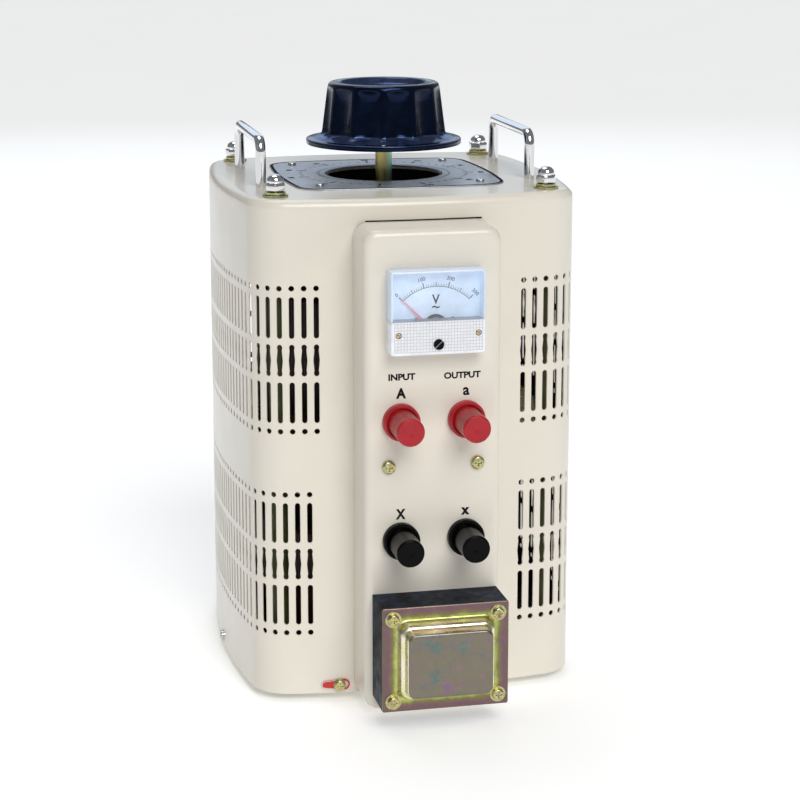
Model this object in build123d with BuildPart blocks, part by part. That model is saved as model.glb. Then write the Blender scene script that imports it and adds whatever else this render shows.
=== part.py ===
from build123d import *
import os
from math import atan2, cos, pi, sin, sqrt

os.makedirs("parts", exist_ok=True)

# Bench voltage regulator with two ring coils stacked in one case.
# Millimetres, +Z up, front faces -Y, origin on the floor under the shaft.

# case plan: a square with slightly bowed sides and round corners
case_half = 121.4
bow_radius = 560.0
corner_radius = 28.0
sheet = 1.2
case_bottom = 5.0
seam_height = 340.0
top_height = 350.0

# vents, two bands of five openings per column, the same on each quarter of the wall
vent_first = 71.5
vent_columns = 18
vent_bands = (98.7, 241.4)
vent_dot_offset = 49.2
vent_dot = 3.4
vent_slot_offset = 29.2
vent_slot_length = 28.0
vent_middle_length = 21.4
vent_width = 3.5

# clamping frame
rod_spread = 94.0
foot_spacing = 136.0
foot_hole_radius = 2.6
rod_radius = 4.0
floor_top = 16.0
mid_plate_bottom = 181.0
mid_plate_thickness = 3.0

# coils, shaft and knob
coil_outer = 96.0
coil_inner = 44.0
coil_height = 84.0
coil_bottoms = (22.0, 190.0)
brush_y = -79.6
turn_radius = 60.0
lug_angle = 75.5
pointer_angle = -102.0
shaft_radius = 6.0
shaft_bottom = 19.5
knob_bottom = 372.6
knob_top = 416.5
dial_hole_radius = 41.0
dial_half = 77.0

# front housing and what is on it
housing_half = 46.6
housing_front = -157.6
housing_top = 335.0
panel_inner = housing_front + sheet
meter_z = 281.8
meter_pivot_z = meter_z - 14.7
post_x = 22.2
post_rows = (206.5, 124.7)
panel_screw_x = 30.4
panel_screw_z = 175.8
choke_x = 1.3
choke_z = 52.2
choke_half_x = 42.9
choke_half_z = 35.75
choke_depth = 31.0
choke_front = housing_front - choke_depth
earth_along = 57.0
earth_z = 11.2
case_screw_z = 10.5


def plan_face(inset):
    """The case plan, moved inwards by inset."""
    reach = bow_radius - case_half
    radius = bow_radius - inset
    c = (sqrt(2 * radius * radius - reach * reach) - reach) / 2
    mid = case_half - inset
    with BuildSketch() as plan:
        with BuildLine():
            ThreePointArc((-c, -c), (0, -mid), (c, -c))
            ThreePointArc((c, -c), (mid, 0), (c, c))
            ThreePointArc((c, c), (0, mid), (-c, c))
            ThreePointArc((-c, c), (-mid, 0), (-c, -c))
        make_face()
        fillet(plan.vertices(), corner_radius - inset)
    return plan.sketch


def wall_plane(distance):
    """A plane on the case wall, facing out, at a distance along it to the right of the front's middle."""
    reach = bow_radius - case_half
    inner = bow_radius - corner_radius
    a = (sqrt(2 * inner * inner - reach * reach) - reach) / 2
    turn = atan2(a, a + reach)
    side_end = bow_radius * turn
    corner_end = side_end + corner_radius * (pi / 2 - 2 * turn)
    quarter = corner_end + side_end
    side = int(distance // quarter)
    along = distance - side * quarter
    if along <= side_end:
        angle = along / bow_radius
        x, y = bow_radius * sin(angle), reach - bow_radius * cos(angle)
    elif along <= corner_end:
        angle = turn + (along - side_end) / corner_radius
        x, y = a + corner_radius * sin(angle), -a - corner_radius * cos(angle)
    else:
        angle = pi / 2 - turn + (along - corner_end) / bow_radius
        x, y = bow_radius * sin(angle) - reach, -bow_radius * cos(angle)
    c, s = ((1, 0), (0, 1), (-1, 0), (0, -1))[side % 4]
    nx, ny = sin(angle), -cos(angle)
    return Plane(
        origin=(x * c - y * s, x * s + y * c, 0),
        x_dir=(-(nx * s + ny * c), nx * c - ny * s, 0),
        z_dir=(nx * c - ny * s, nx * s + ny * c, 0),
    )


def wall_length():
    """The distance once round the case wall."""
    reach = bow_radius - case_half
    inner = bow_radius - corner_radius
    a = (sqrt(2 * inner * inner - reach * reach) - reach) / 2
    turn = atan2(a, a + reach)
    return 4 * (2 * bow_radius * turn + corner_radius * (pi / 2 - 2 * turn))


def front_plane(x, z, y):
    """A plane that faces the front (-Y) at a point."""
    return Plane(origin=(x, y, z), x_dir=(1, 0, 0), z_dir=(0, -1, 0))


def save(part, name):
    part.label = name
    export_step(part, "parts/" + name + ".step")


four_rods = [(x, y) for x in (-rod_spread, rod_spread) for y in (-rod_spread, rod_spread)]
three_sides = [1, 2, 3]

# ---- case ----

with BuildPart() as rubber_feet:
    with BuildSketch():
        with GridLocations(foot_spacing, foot_spacing, 2, 2):
            Circle(13)
    extrude(amount=13.5, taper=4)
    with BuildSketch():
        with GridLocations(foot_spacing, foot_spacing, 2, 2):
            Circle(foot_hole_radius)
    extrude(amount=13.5, mode=Mode.SUBTRACT)
save(rubber_feet.part, "rubber_feet")

with BuildPart() as base_plate:
    with BuildSketch(Plane.XY.offset(case_bottom + 0.8)):
        add(plan_face(sheet + 0.05))
    extrude(amount=floor_top - case_bottom - 0.8)
    with BuildSketch(Plane.XY.offset(case_bottom + 0.8)):
        add(plan_face(sheet + 2.5))
    extrude(amount=floor_top - case_bottom - 3.3, mode=Mode.SUBTRACT)
    with Locations((0, 0, floor_top)):
        with Locations(*four_rods):
            Hole(rod_radius + 0.3, depth=5)
        with GridLocations(foot_spacing, foot_spacing, 2, 2):
            Hole(foot_hole_radius, depth=5)
        Hole(10.05, depth=5)
    for side in three_sides:
        with BuildSketch(wall_plane(side * wall_length() / 4)):
            with Locations((0, case_screw_z)):
                Circle(2.0)
        extrude(amount=6, both=True, mode=Mode.SUBTRACT)
    with BuildSketch(wall_plane(wall_length() - earth_along)):
        with Locations((0, earth_z)):
            Circle(2.25)
    extrude(amount=6, both=True, mode=Mode.SUBTRACT)
save(base_plate.part, "base_plate")

with BuildPart() as wall_quarter:
    with BuildSketch(Plane.XY.offset(case_bottom)):
        add(plan_face(0))
        add(plan_face(sheet), mode=Mode.SUBTRACT)
        with Locations((100, -100)):
            Rectangle(200, 200, mode=Mode.INTERSECT)
    extrude(amount=seam_height - case_bottom - 0.3)
    vent_pitch = (wall_length() / 4 - vent_first) / (vent_columns - 0.5)
    vent_planes = [wall_plane(vent_first + k * vent_pitch) for k in range(vent_columns)]
    with BuildSketch(*vent_planes):
        for band in vent_bands:
            with Locations((0, band - vent_dot_offset), (0, band + vent_dot_offset)):
                Rectangle(vent_dot, vent_dot)
            with Locations((0, band - vent_slot_offset), (0, band + vent_slot_offset)):
                Rectangle(vent_width, vent_slot_length)
            with Locations((0, band)):
                Rectangle(vent_width, vent_middle_length)
    extrude(amount=3, both=True, mode=Mode.SUBTRACT)

with BuildPart() as casing:
    add(wall_quarter.part)
    mirror(about=Plane.YZ)
    mirror(about=Plane.XZ)
    with BuildSketch(front_plane(0, 165, -120)):
        RectangleRounded(76, 290, 6)
    extrude(amount=6, both=True, mode=Mode.SUBTRACT)
    for side in three_sides:
        with BuildSketch(wall_plane(side * wall_length() / 4)):
            with Locations((0, case_screw_z)):
                Circle(2.1)
        extrude(amount=3, both=True, mode=Mode.SUBTRACT)
    with BuildSketch(wall_plane(wall_length() - earth_along)):
        with Locations((0, earth_z)):
            Circle(2.6)
    extrude(amount=3, both=True, mode=Mode.SUBTRACT)
save(casing.part, "casing")

with BuildPart() as casing_screws:
    for side in three_sides:
        with BuildSketch(wall_plane(side * wall_length() / 4)):
            with Locations((0, case_screw_z)):
                Circle(4.0)
        extrude(amount=2.4)
    screw_faces = casing_screws.faces().filter_by(GeomType.PLANE)
    fillet(screw_faces.sort_by_distance((0, 0, case_screw_z))[-3:].edges(), 0.9)
    for side in three_sides:
        with BuildSketch(wall_plane(side * wall_length() / 4).offset(2.4)):
            with Locations((0, case_screw_z)):
                Rectangle(4.4, 0.9)
                Rectangle(0.9, 4.4)
        extrude(amount=-1.4, mode=Mode.SUBTRACT)
        with BuildSketch(wall_plane(side * wall_length() / 4)):
            with Locations((0, case_screw_z)):
                Circle(1.95)
        extrude(amount=-7)
save(casing_screws.part, "casing_screws")

with BuildPart() as top_cover:
    with BuildSketch(Plane.XY.offset(seam_height)):
        add(plan_face(0))
    extrude(amount=top_height - seam_height)
    fillet(top_cover.faces().sort_by(Axis.Z)[-1].edges(), 6)
    with BuildSketch(Plane.XY.offset(seam_height)):
        add(plan_face(4.5))
    extrude(amount=top_height - seam_height - 1.5, mode=Mode.SUBTRACT)
    with BuildSketch(Plane.XY.offset(seam_height - 6)):
        add(plan_face(sheet + 0.1))
        add(plan_face(4.5), mode=Mode.SUBTRACT)
    extrude(amount=6)
    with Locations((0, 0, top_height)):
        with Locations(*four_rods):
            Hole(rod_radius + 0.3, depth=3)
        with Locations((-96, -44), (-96, 56), (96, -44), (96, 56)):
            Hole(3.7, depth=3)
        with GridLocations(114, 114, 2, 2):
            Hole(1.6, depth=3)
        Hole(dial_hole_radius + 0.5, depth=3)
save(top_cover.part, "top_cover")

with BuildPart() as tie_rods:
    with BuildSketch(Plane.XY.offset(floor_top - 2.5 - 5.5)):
        with Locations(*four_rods):
            RegularPolygon(7.5, 6)
    extrude(amount=5.5)
    with BuildSketch(Plane.XY.offset(floor_top - 2.5)):
        with Locations(*four_rods):
            Circle(rod_radius)
    extrude(amount=top_height + 12 - floor_top + 2.5)
save(tie_rods.part, "tie_rods")

with BuildPart() as rod_spacers:
    for low in (floor_top, mid_plate_bottom + mid_plate_thickness):
        with BuildSketch(Plane.XY.offset(low)):
            with Locations(*four_rods):
                Circle(6)
                Circle(rod_radius + 0.2, mode=Mode.SUBTRACT)
        extrude(amount=mid_plate_bottom - floor_top - 0.5)
save(rod_spacers.part, "rod_spacers")

with BuildPart() as mid_plate:
    with BuildSketch(Plane.XY.offset(mid_plate_bottom)):
        add(plan_face(12))
        with Locations(*four_rods):
            Circle(rod_radius + 0.3, mode=Mode.SUBTRACT)
        Circle(10.05, mode=Mode.SUBTRACT)
        with Locations((0, -100), (0, 100)):
            SlotOverall(60, 14, mode=Mode.SUBTRACT)
    extrude(amount=mid_plate_thickness)
save(mid_plate.part, "mid_plate")

with BuildPart() as flat_washers:
    with BuildSketch(Plane.XY.offset(top_height)):
        with Locations(*four_rods):
            Circle(8.6)
            Circle(4.3, mode=Mode.SUBTRACT)
    extrude(amount=1.5)
save(flat_washers.part, "flat_washers")

with BuildPart() as spring_washers:
    with BuildSketch(Plane.XY.offset(top_height + 1.5)):
        for x, y in four_rods:
            with Locations((x, y)):
                Circle(6.9)
                Circle(4.2, mode=Mode.SUBTRACT)
            with Locations((x + 5.5, y)):
                Rectangle(5, 0.8, mode=Mode.SUBTRACT)
    extrude(amount=2.0)
save(spring_washers.part, "spring_washers")

with BuildPart() as acorn_nuts:
    with BuildSketch(Plane.XY.offset(top_height + 3.5)):
        with Locations(*four_rods):
            RegularPolygon(7.3, 6)
    extrude(amount=6)
    with Locations((0, 0, top_height + 9.5)):
        with Locations(*four_rods):
            Sphere(5.9, arc_size1=0, align=(Align.CENTER, Align.CENTER, Align.MIN))
    with Locations((0, 0, top_height + 3.5)):
        with Locations(*four_rods):
            Cylinder(
                rod_radius + 0.02, 8.8, align=(Align.CENTER, Align.CENTER, Align.MIN), mode=Mode.SUBTRACT
            )
save(acorn_nuts.part, "acorn_nuts")

with BuildPart() as carry_handles:
    for x in (-96, 96):
        with BuildLine() as handle_path:
            FilletPolyline(
                (x, -44, top_height - 7),
                (x, -44, top_height + 32),
                (x, 56, top_height + 32),
                (x, 56, top_height - 7),
                radius=8,
            )
        with BuildSketch(Plane.XY.offset(top_height - 7)):
            with Locations((x, -44)):
                Circle(3.6)
        sweep(path=handle_path.line)
save(carry_handles.part, "carry_handles")

with BuildPart() as handle_nuts:
    with BuildSketch(Plane.XY.offset(top_height - 1.5 - 5)):
        with Locations((-96, -44), (-96, 56), (96, -44), (96, 56)):
            RegularPolygon(7, 6)
            Circle(3.62, mode=Mode.SUBTRACT)
    extrude(amount=5)
save(handle_nuts.part, "handle_nuts")

# ---- dial ----

with BuildPart() as dial_plate:
    with BuildSketch(Plane.XY.offset(top_height)) as dial_sketch:
        with BuildLine():
            bulge = 5
            c = dial_half - bulge
            ThreePointArc((-c, -c), (0, -dial_half), (c, -c))
            ThreePointArc((c, -c), (dial_half, 0), (c, c))
            ThreePointArc((c, c), (0, dial_half), (-c, c))
            ThreePointArc((-c, c), (-dial_half, 0), (-c, -c))
        make_face()
        fillet(dial_sketch.vertices(), 20)
        Circle(dial_hole_radius, mode=Mode.SUBTRACT)
        with GridLocations(114, 114, 2, 2):
            Circle(1.6, mode=Mode.SUBTRACT)
    extrude(amount=0.8)
save(dial_plate.part, "dial_plate")

with BuildPart() as dial_screws:
    with Locations((0, 0, top_height + 0.8)):
        with GridLocations(114, 114, 2, 2):
            Cylinder(3.0, 1.8, align=(Align.CENTER, Align.CENTER, Align.MIN))
    fillet(dial_screws.faces().sort_by(Axis.Z)[-4:].edges(), 0.9)
    with BuildSketch(Plane.XY.offset(top_height + 2.6)):
        with GridLocations(114, 114, 2, 2):
            Rectangle(3.4, 0.7)
            Rectangle(0.7, 3.4)
    extrude(amount=-0.9, mode=Mode.SUBTRACT)
    with BuildSketch(Plane.XY.offset(top_height + 0.8)):
        with GridLocations(114, 114, 2, 2):
            Circle(1.55)
    extrude(amount=-5)
save(dial_screws.part, "dial_screws")

# ---- coils ----

with BuildPart() as coil_rings:
    for low in (floor_top, mid_plate_bottom + mid_plate_thickness):
        with BuildSketch(Plane.XY.offset(low)):
            Circle(92)
            Circle(48, mode=Mode.SUBTRACT)
        extrude(amount=6)
save(coil_rings.part, "coil_rings")

with BuildPart() as coil_cores:
    for low in coil_bottoms:
        with BuildSketch(Plane.XY.offset(low + 4)):
            Circle(coil_outer - 4)
            Circle(coil_inner + 4, mode=Mode.SUBTRACT)
        extrude(amount=coil_height - 8)
save(coil_cores.part, "coil_cores")

with BuildPart() as coil_windings:
    for low in coil_bottoms:
        with BuildSketch(Plane.XZ):
            with Locations(((coil_outer + coil_inner) / 2, low + coil_height / 2)):
                RectangleRounded(coil_outer - coil_inner, coil_height, 3.5)
                Rectangle(coil_outer - coil_inner - 7.98, coil_height - 7.98, mode=Mode.SUBTRACT)
        revolve(axis=Axis.Z)
save(coil_windings.part, "coil_windings")

with BuildPart() as clamp_rings:
    for low in coil_bottoms:
        with BuildSketch(Plane.XY.offset(low + coil_height)):
            Circle(64)
            Circle(27, mode=Mode.SUBTRACT)
            with PolarLocations(36, 4, start_angle=45):
                Circle(3.2, mode=Mode.SUBTRACT)
        extrude(amount=3)
        with BuildSketch(Plane.XY.offset(low + coil_height + 3)):
            with Locations((0, turn_radius - 0.75)):
                Rectangle(24, 4.5)
        extrude(amount=8)
save(clamp_rings.part, "clamp_rings")

with BuildPart() as clamp_bolts:
    for low in coil_bottoms:
        with BuildSketch(Plane.XY.offset(low + coil_height + 3)):
            with PolarLocations(36, 4, start_angle=45):
                RegularPolygon(5.5, 6)
        extrude(amount=4)
        with BuildSketch(Plane.XY.offset(low + coil_height + 3)):
            with PolarLocations(36, 4, start_angle=45):
                Circle(3)
        extrude(amount=-(coil_height + 3 + 6))
save(clamp_bolts.part, "clamp_bolts")

with BuildPart() as hub_bushes:
    for low in (floor_top, mid_plate_bottom + mid_plate_thickness):
        with BuildSketch(Plane.XY.offset(low)):
            Circle(22)
            Circle(shaft_radius + 0.05, mode=Mode.SUBTRACT)
        extrude(amount=4)
        with BuildSketch(Plane.XY.offset(low + 4)):
            Circle(12)
            Circle(shaft_radius + 0.05, mode=Mode.SUBTRACT)
        extrude(amount=60)
        with BuildSketch(Plane.XY.offset(low)):
            Circle(10)
            Circle(shaft_radius + 0.05, mode=Mode.SUBTRACT)
        extrude(amount=-2.5)
save(hub_bushes.part, "hub_bushes")

# ---- rotor ----

with BuildPart() as shaft:
    with BuildSketch(Plane.XY.offset(shaft_bottom)):
        Circle(shaft_radius)
    extrude(amount=knob_top - 16 - shaft_bottom)
save(shaft.part, "shaft")

with BuildPart() as rotor_discs:
    for low in coil_bottoms:
        disc = low + coil_height + 14
        with BuildSketch(Plane.XY.offset(disc)):
            Circle(70)
        extrude(amount=3)
        with BuildSketch(Plane.XY.offset(disc + 3)):
            with PolarLocations(0, 12):
                with Locations((44, 0)):
                    Rectangle(44, 1.6)
        extrude(amount=9)
        with BuildSketch(Plane.XY.offset(disc - 9)):
            Circle(15)
        extrude(amount=24)
        with BuildSketch(Plane.XY.offset(disc)):
            with Locations((0, -74)):
                Rectangle(22, 24)
        extrude(amount=3)
        with BuildSketch(Plane.XY.offset(disc)):
            with Locations((0, brush_y)):
                Rectangle(9.2, 13.2)
        extrude(amount=3, mode=Mode.SUBTRACT)
        with BuildSketch(Plane.XY.offset(disc - 8)):
            with PolarLocations(turn_radius, 1, start_angle=lug_angle):
                Rectangle(5, 5)
        extrude(amount=8)
        with BuildSketch(Plane.XY.offset(disc - 9)):
            Circle(shaft_radius + 0.01)
        extrude(amount=24, mode=Mode.SUBTRACT)
save(rotor_discs.part, "rotor_discs")

with BuildPart() as brush_holders:
    for low in coil_bottoms:
        track = low + coil_height
        with BuildSketch(Plane.XY.offset(track + 5)):
            with Locations((0, brush_y)):
                Rectangle(9, 13)
                Rectangle(6, 10, mode=Mode.SUBTRACT)
        extrude(amount=23)
        with BuildSketch(Plane.XY.offset(track + 28)):
            with Locations((0, brush_y)):
                Rectangle(9, 13)
        extrude(amount=1.5)
save(brush_holders.part, "brush_holders")

with BuildPart() as lower_brush:
    with BuildSketch(Plane.XY.offset(coil_bottoms[0] + coil_height + 0.02)):
        with Locations((0, brush_y)):
            Rectangle(5.9, 9.9)
    extrude(amount=16)
save(lower_brush.part, "lower_brush")

with BuildPart() as upper_brush:
    with BuildSketch(Plane.XY.offset(coil_bottoms[1] + coil_height + 0.02)):
        with Locations((0, brush_y)):
            Rectangle(5.9, 9.9)
    extrude(amount=16)
save(upper_brush.part, "upper_brush")



def brush_spring(low, name):
    start = low + coil_height + 16.3
    with BuildPart() as spring:
        with BuildLine() as coil_path:
            Helix(pitch=2.6, height=11.2, radius=2.2, center=(0, brush_y, start))
        with BuildSketch(Plane(origin=coil_path.line @ 0, z_dir=coil_path.line % 0)):
            Circle(0.25)
        sweep(path=coil_path.line, is_frenet=True)
    save(spring.part, name)


brush_spring(coil_bottoms[0], "lower_brush_spring")
brush_spring(coil_bottoms[1], "upper_brush_spring")

flute_count = 12
with BuildPart() as knob:
    with BuildSketch(Plane.XZ):
        with BuildLine():
            Polyline((0, knob_bottom + 1.5), (50, knob_bottom + 1.5), (52.5, knob_bottom))
            Polyline((52.5, knob_bottom), (55.5, knob_bottom), (55.5, knob_bottom + 3.8))
            Polyline((55.5, knob_bottom + 3.8), (50, knob_bottom + 4.6), (44, knob_bottom + 7.6))
            Polyline((44, knob_bottom + 7.6), (39.5, knob_top), (32, knob_top), (28.6, knob_top - 4))
            Polyline((28.6, knob_top - 4), (0, knob_top - 5.5), (0, knob_bottom + 1.5))
        make_face()
    revolve(axis=Axis.Z)
    for k in range(flute_count):
        turn = pointer_angle + (k + 0.5) * 360 / flute_count
        with BuildSketch(Plane.XY.offset(knob_bottom + 7.6).rotated((0, 0, turn))):
            with Locations((52.0, 0)):
                Circle(11.5)
        extrude(amount=knob_top - knob_bottom - 7.6, taper=-7, mode=Mode.SUBTRACT)
    with BuildSketch(Plane.XY.offset(knob_bottom)):
        Circle(11)
    extrude(amount=12)
    with BuildSketch(Plane.XY.offset(knob_bottom)):
        Circle(shaft_radius + 0.01)
    extrude(amount=knob_top - 16 - knob_bottom, mode=Mode.SUBTRACT)
    with BuildSketch(front_plane(0, knob_bottom + 15, 0)):
        Circle(2.55)
    extrude(amount=60, mode=Mode.SUBTRACT)
save(knob.part, "knob")

with BuildPart() as knob_screw:
    with BuildSketch(front_plane(0, knob_bottom + 15, -6.2)):
        Circle(2.5)
    extrude(amount=12)
    with BuildSketch(front_plane(0, knob_bottom + 15, -18.2)):
        Rectangle(5, 0.8)
    extrude(amount=-1.5, mode=Mode.SUBTRACT)
save(knob_screw.part, "knob_screw")

# ---- front housing ----

with BuildPart() as panel_housing:
    with BuildSketch(front_plane(0, (housing_top + case_bottom) / 2, -100)):
        RectangleRounded(2 * housing_half, housing_top - case_bottom, 10)
    extrude(amount=-housing_front - 100)
    fillet(panel_housing.faces().sort_by(Axis.Y)[0].edges(), 5)
    with BuildSketch(front_plane(0, (housing_top + case_bottom) / 2, -100)):
        RectangleRounded(2 * housing_half - 2 * sheet, housing_top - case_bottom - 2 * sheet, 10 - sheet)
    extrude(amount=-panel_inner - 100 - 3, mode=Mode.SUBTRACT)
    with BuildSketch(front_plane(0, (housing_top + case_bottom) / 2, panel_inner + 3)):
        RectangleRounded(2 * housing_half - 8, housing_top - case_bottom - 8, 8)
    extrude(amount=3, mode=Mode.SUBTRACT)
    with BuildSketch(Plane.XY):
        add(plan_face(-0.02))
    extrude(amount=400, mode=Mode.SUBTRACT)
    with BuildSketch(front_plane(0, meter_z, housing_front)):
        Circle(25.6)
        for z in post_rows:
            with Locations((-post_x, z - meter_z), (post_x, z - meter_z)):
                Circle(4.5)
        with Locations((-panel_screw_x, panel_screw_z - meter_z), (panel_screw_x, panel_screw_z - meter_z)):
            Circle(2.2)
        with Locations((choke_x, choke_z - meter_z)):
            Rectangle(57, 43)
            with GridLocations(71.5, 57.2, 2, 2):
                Circle(2.2)
    extrude(amount=-6, mode=Mode.SUBTRACT)
save(panel_housing.part, "panel_housing")

with BuildPart() as terminal_board:
    with BuildSketch(front_plane(0, 165, panel_inner)):
        RectangleRounded(80, 110, 3)
        with Locations((-panel_screw_x, panel_screw_z - 165), (panel_screw_x, panel_screw_z - 165)):
            Circle(2.0, mode=Mode.SUBTRACT)
        for z in post_rows:
            with Locations((-post_x, z - 165), (post_x, z - 165)):
                Circle(3.05, mode=Mode.SUBTRACT)
    extrude(amount=-4)
save(terminal_board.part, "terminal_board")

with BuildPart() as panel_screws:
    for x in (-panel_screw_x, panel_screw_x):
        with BuildSketch(front_plane(x, panel_screw_z, housing_front)):
            Circle(4.6)
        extrude(amount=3.0)
    fillet(panel_screws.faces().sort_by(Axis.Y)[:2].edges(), 1.6)
    for x in (-panel_screw_x, panel_screw_x):
        with BuildSketch(front_plane(x, panel_screw_z, housing_front - 3)):
            Rectangle(5.0, 1.0)
            Rectangle(1.0, 5.0)
        extrude(amount=-1.6, mode=Mode.SUBTRACT)
        with BuildSketch(front_plane(x, panel_screw_z, housing_front)):
            Circle(1.98)
        extrude(amount=-9)
save(panel_screws.part, "panel_screws")

# ---- binding posts ----


def post_bases(z, name):
    with BuildPart() as bases:
        for x in (-post_x, post_x):
            with BuildSketch(front_plane(x, z, housing_front)):
                Circle(12.5)
            extrude(amount=6.0)
        fillet(bases.faces().sort_by(Axis.Y)[:2].edges(), 1.0)
        for x in (-post_x, post_x):
            with BuildSketch(front_plane(x, z, housing_front - 6)):
                Circle(9.8)
            extrude(amount=-2.0, mode=Mode.SUBTRACT)
            with BuildSketch(front_plane(x, z, housing_front)):
                Circle(4.4)
            extrude(amount=-sheet)
            with BuildSketch(front_plane(x, z, housing_front - 6)):
                Circle(3.0)
            extrude(amount=-12, mode=Mode.SUBTRACT)
    save(bases.part, name)


post_bases(post_rows[0], "red_post_bases")
post_bases(post_rows[1], "black_post_bases")

with BuildPart() as post_studs:
    for z in post_rows:
        for x in (-post_x, post_x):
            with BuildSketch(front_plane(x, z, housing_front + 22)):
                Circle(2.98)
            extrude(amount=48)
save(post_studs.part, "post_studs")

with BuildPart() as post_nuts:
    for z in post_rows:
        with BuildSketch(front_plane(0, z, panel_inner + 4)):
            with Locations((-post_x, 0), (post_x, 0)):
                Circle(7)
                Circle(3.0, mode=Mode.SUBTRACT)
        extrude(amount=-1.0)
        with BuildSketch(front_plane(0, z, panel_inner + 5)):
            with Locations((-post_x, 0), (post_x, 0)):
                RegularPolygon(5.8, 6)
                Circle(3.0, mode=Mode.SUBTRACT)
        extrude(amount=-5.0)
save(post_nuts.part, "post_nuts")


def post_washer(x, z, name):
    with BuildPart() as washer:
        with BuildSketch(front_plane(x, z, housing_front - 4.02)):
            Circle(9.3)
            Circle(3.05, mode=Mode.SUBTRACT)
        extrude(amount=1.6)
    save(washer.part, name)


def post_cap(x, z, name):
    with BuildPart() as cap:
        with BuildSketch(front_plane(x, z, housing_front - 5.66)):
            Circle(9.4)
        extrude(amount=26.3)
        fillet(cap.faces().sort_by(Axis.Y)[0].edges(), 1.2)
        with BuildSketch(front_plane(x, z, housing_front - 8)):
            with PolarLocations(9.55, 36):
                Circle(0.28)
        extrude(amount=19, mode=Mode.SUBTRACT)
        with BuildSketch(front_plane(x, z, housing_front - 5.66)):
            Circle(3.03)
        extrude(amount=22, mode=Mode.SUBTRACT)
    save(cap.part, name)


for row, colour in ((post_rows[0], "red"), (post_rows[1], "black")):
    for side_x, side_name in ((-post_x, "input"), (post_x, "output")):
        post_washer(side_x, row, colour + "_" + side_name + "_washer")
        post_cap(side_x, row, colour + "_" + side_name + "_cap")

# ---- panel meter ----

meter_front = housing_front - 15
with BuildPart() as meter_case:
    with BuildSketch(front_plane(0, meter_z, housing_front)):
        RectangleRounded(60, 52, 2)
    extrude(amount=3)
    with BuildSketch(front_plane(0, meter_z, housing_front)):
        Circle(25.4)
    extrude(amount=-36)
    with BuildSketch(front_plane(0, meter_z, housing_front + 36)):
        with Locations((-13, -4), (13, -4)):
            Circle(2.5)
    extrude(amount=-10)
    with BuildSketch(front_plane(0, meter_pivot_z, housing_front - 3)):
        Circle(3)
    extrude(amount=-2, mode=Mode.SUBTRACT)
save(meter_case.part, "meter_case")

with BuildPart() as meter_dial:
    with BuildSketch(front_plane(0, meter_z + 7.5, housing_front - 3)):
        Rectangle(59, 36)
    extrude(amount=0.6)
save(meter_dial.part, "meter_dial")

with BuildPart() as meter_cover:
    with BuildSketch(front_plane(0, meter_z + 11.3, housing_front)):
        RectangleRounded(64, 33.4, 1.5)
    extrude(amount=15)
    with BuildSketch(front_plane(0, meter_z + 10, housing_front)):
        Rectangle(60.2, 32.2)
    extrude(amount=13.2, mode=Mode.SUBTRACT)
    fillet(meter_cover.faces().sort_by(Axis.Y)[0].edges().sort_by(Axis.Z)[1:], 1.2)
save(meter_cover.part, "meter_cover")

with BuildPart() as meter_apron:
    with BuildSketch(front_plane(0, meter_z - 16.7, housing_front)):
        Rectangle(64, 22.58)
    extrude(amount=15)
    fillet(meter_apron.faces().sort_by(Axis.Z)[0].edges().filter_by(Axis.Y), 2)
    with BuildSketch(front_plane(0, meter_z - 15, housing_front)):
        Rectangle(60.2, 22.4)
    extrude(amount=13.2, mode=Mode.SUBTRACT)
    with BuildSketch(front_plane(0, meter_z - 14.2, meter_front)):
        with Locations((-26.8, 0), (26.8, 0)):
            Circle(1.3, mode=Mode.ADD)
        with Locations((0, -6.7)):
            Circle(3.55)
    extrude(amount=-3, mode=Mode.SUBTRACT)
save(meter_apron.part, "meter_apron")

with BuildPart() as meter_screws:
    for x in (-26.8, 26.8):
        with BuildSketch(front_plane(x, meter_z - 14.2, meter_front + 0.6)):
            Circle(1.25)
            Rectangle(2.2, 0.5, mode=Mode.SUBTRACT)
        extrude(amount=-0.8)
        with BuildSketch(front_plane(x, meter_z - 14.2, meter_front + 1.4)):
            Circle(1.25)
        extrude(amount=-10.6)
save(meter_screws.part, "meter_screws")

with BuildPart() as meter_needle:
    with BuildSketch(front_plane(0, meter_pivot_z, housing_front - 5)):
        with Locations((0, 0)):
            Circle(4)
        with Locations(Location((0, 0), 135)):
            with Locations((17.5, 0)):
                Rectangle(31, 0.8)
            with Locations((-5, 0)):
                Rectangle(6, 1.6)
    extrude(amount=0.4)
    with BuildSketch(front_plane(0, meter_pivot_z, housing_front - 1.2)):
        Circle(2.5)
    extrude(amount=5)
save(meter_needle.part, "meter_needle")

with BuildPart() as meter_adjuster:
    with BuildSketch(front_plane(0, meter_z - 20.9, meter_front - 0.8)):
        Circle(3.5)
    extrude(amount=-3.4)
    with BuildSketch(front_plane(0, meter_z - 20.9, meter_front - 0.8)):
        with Locations(Location((0, 0), 45)):
            Rectangle(8, 0.9)
    extrude(amount=-0.8, mode=Mode.SUBTRACT)
save(meter_adjuster.part, "meter_adjuster")

# ---- balance choke ----

with BuildPart() as choke_core:
    with BuildSketch(front_plane(choke_x, choke_z, housing_front)):
        Rectangle(2 * choke_half_x, 2 * choke_half_z)
        Rectangle(56.9, 42.9, mode=Mode.SUBTRACT)
        with GridLocations(71.5, 57.2, 2, 2):
            Circle(2.2, mode=Mode.SUBTRACT)
    extrude(amount=choke_depth)
    with BuildSketch(front_plane(choke_x, choke_z, housing_front)):
        Rectangle(56.9, 28.6)
    extrude(amount=choke_depth)
    with BuildSketch(front_plane(choke_x, choke_z, housing_front)):
        with Locations((0, 0)):
            Rectangle(14.3, 14.3)
    extrude(amount=choke_depth)
save(choke_core.part, "choke_core")

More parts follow.
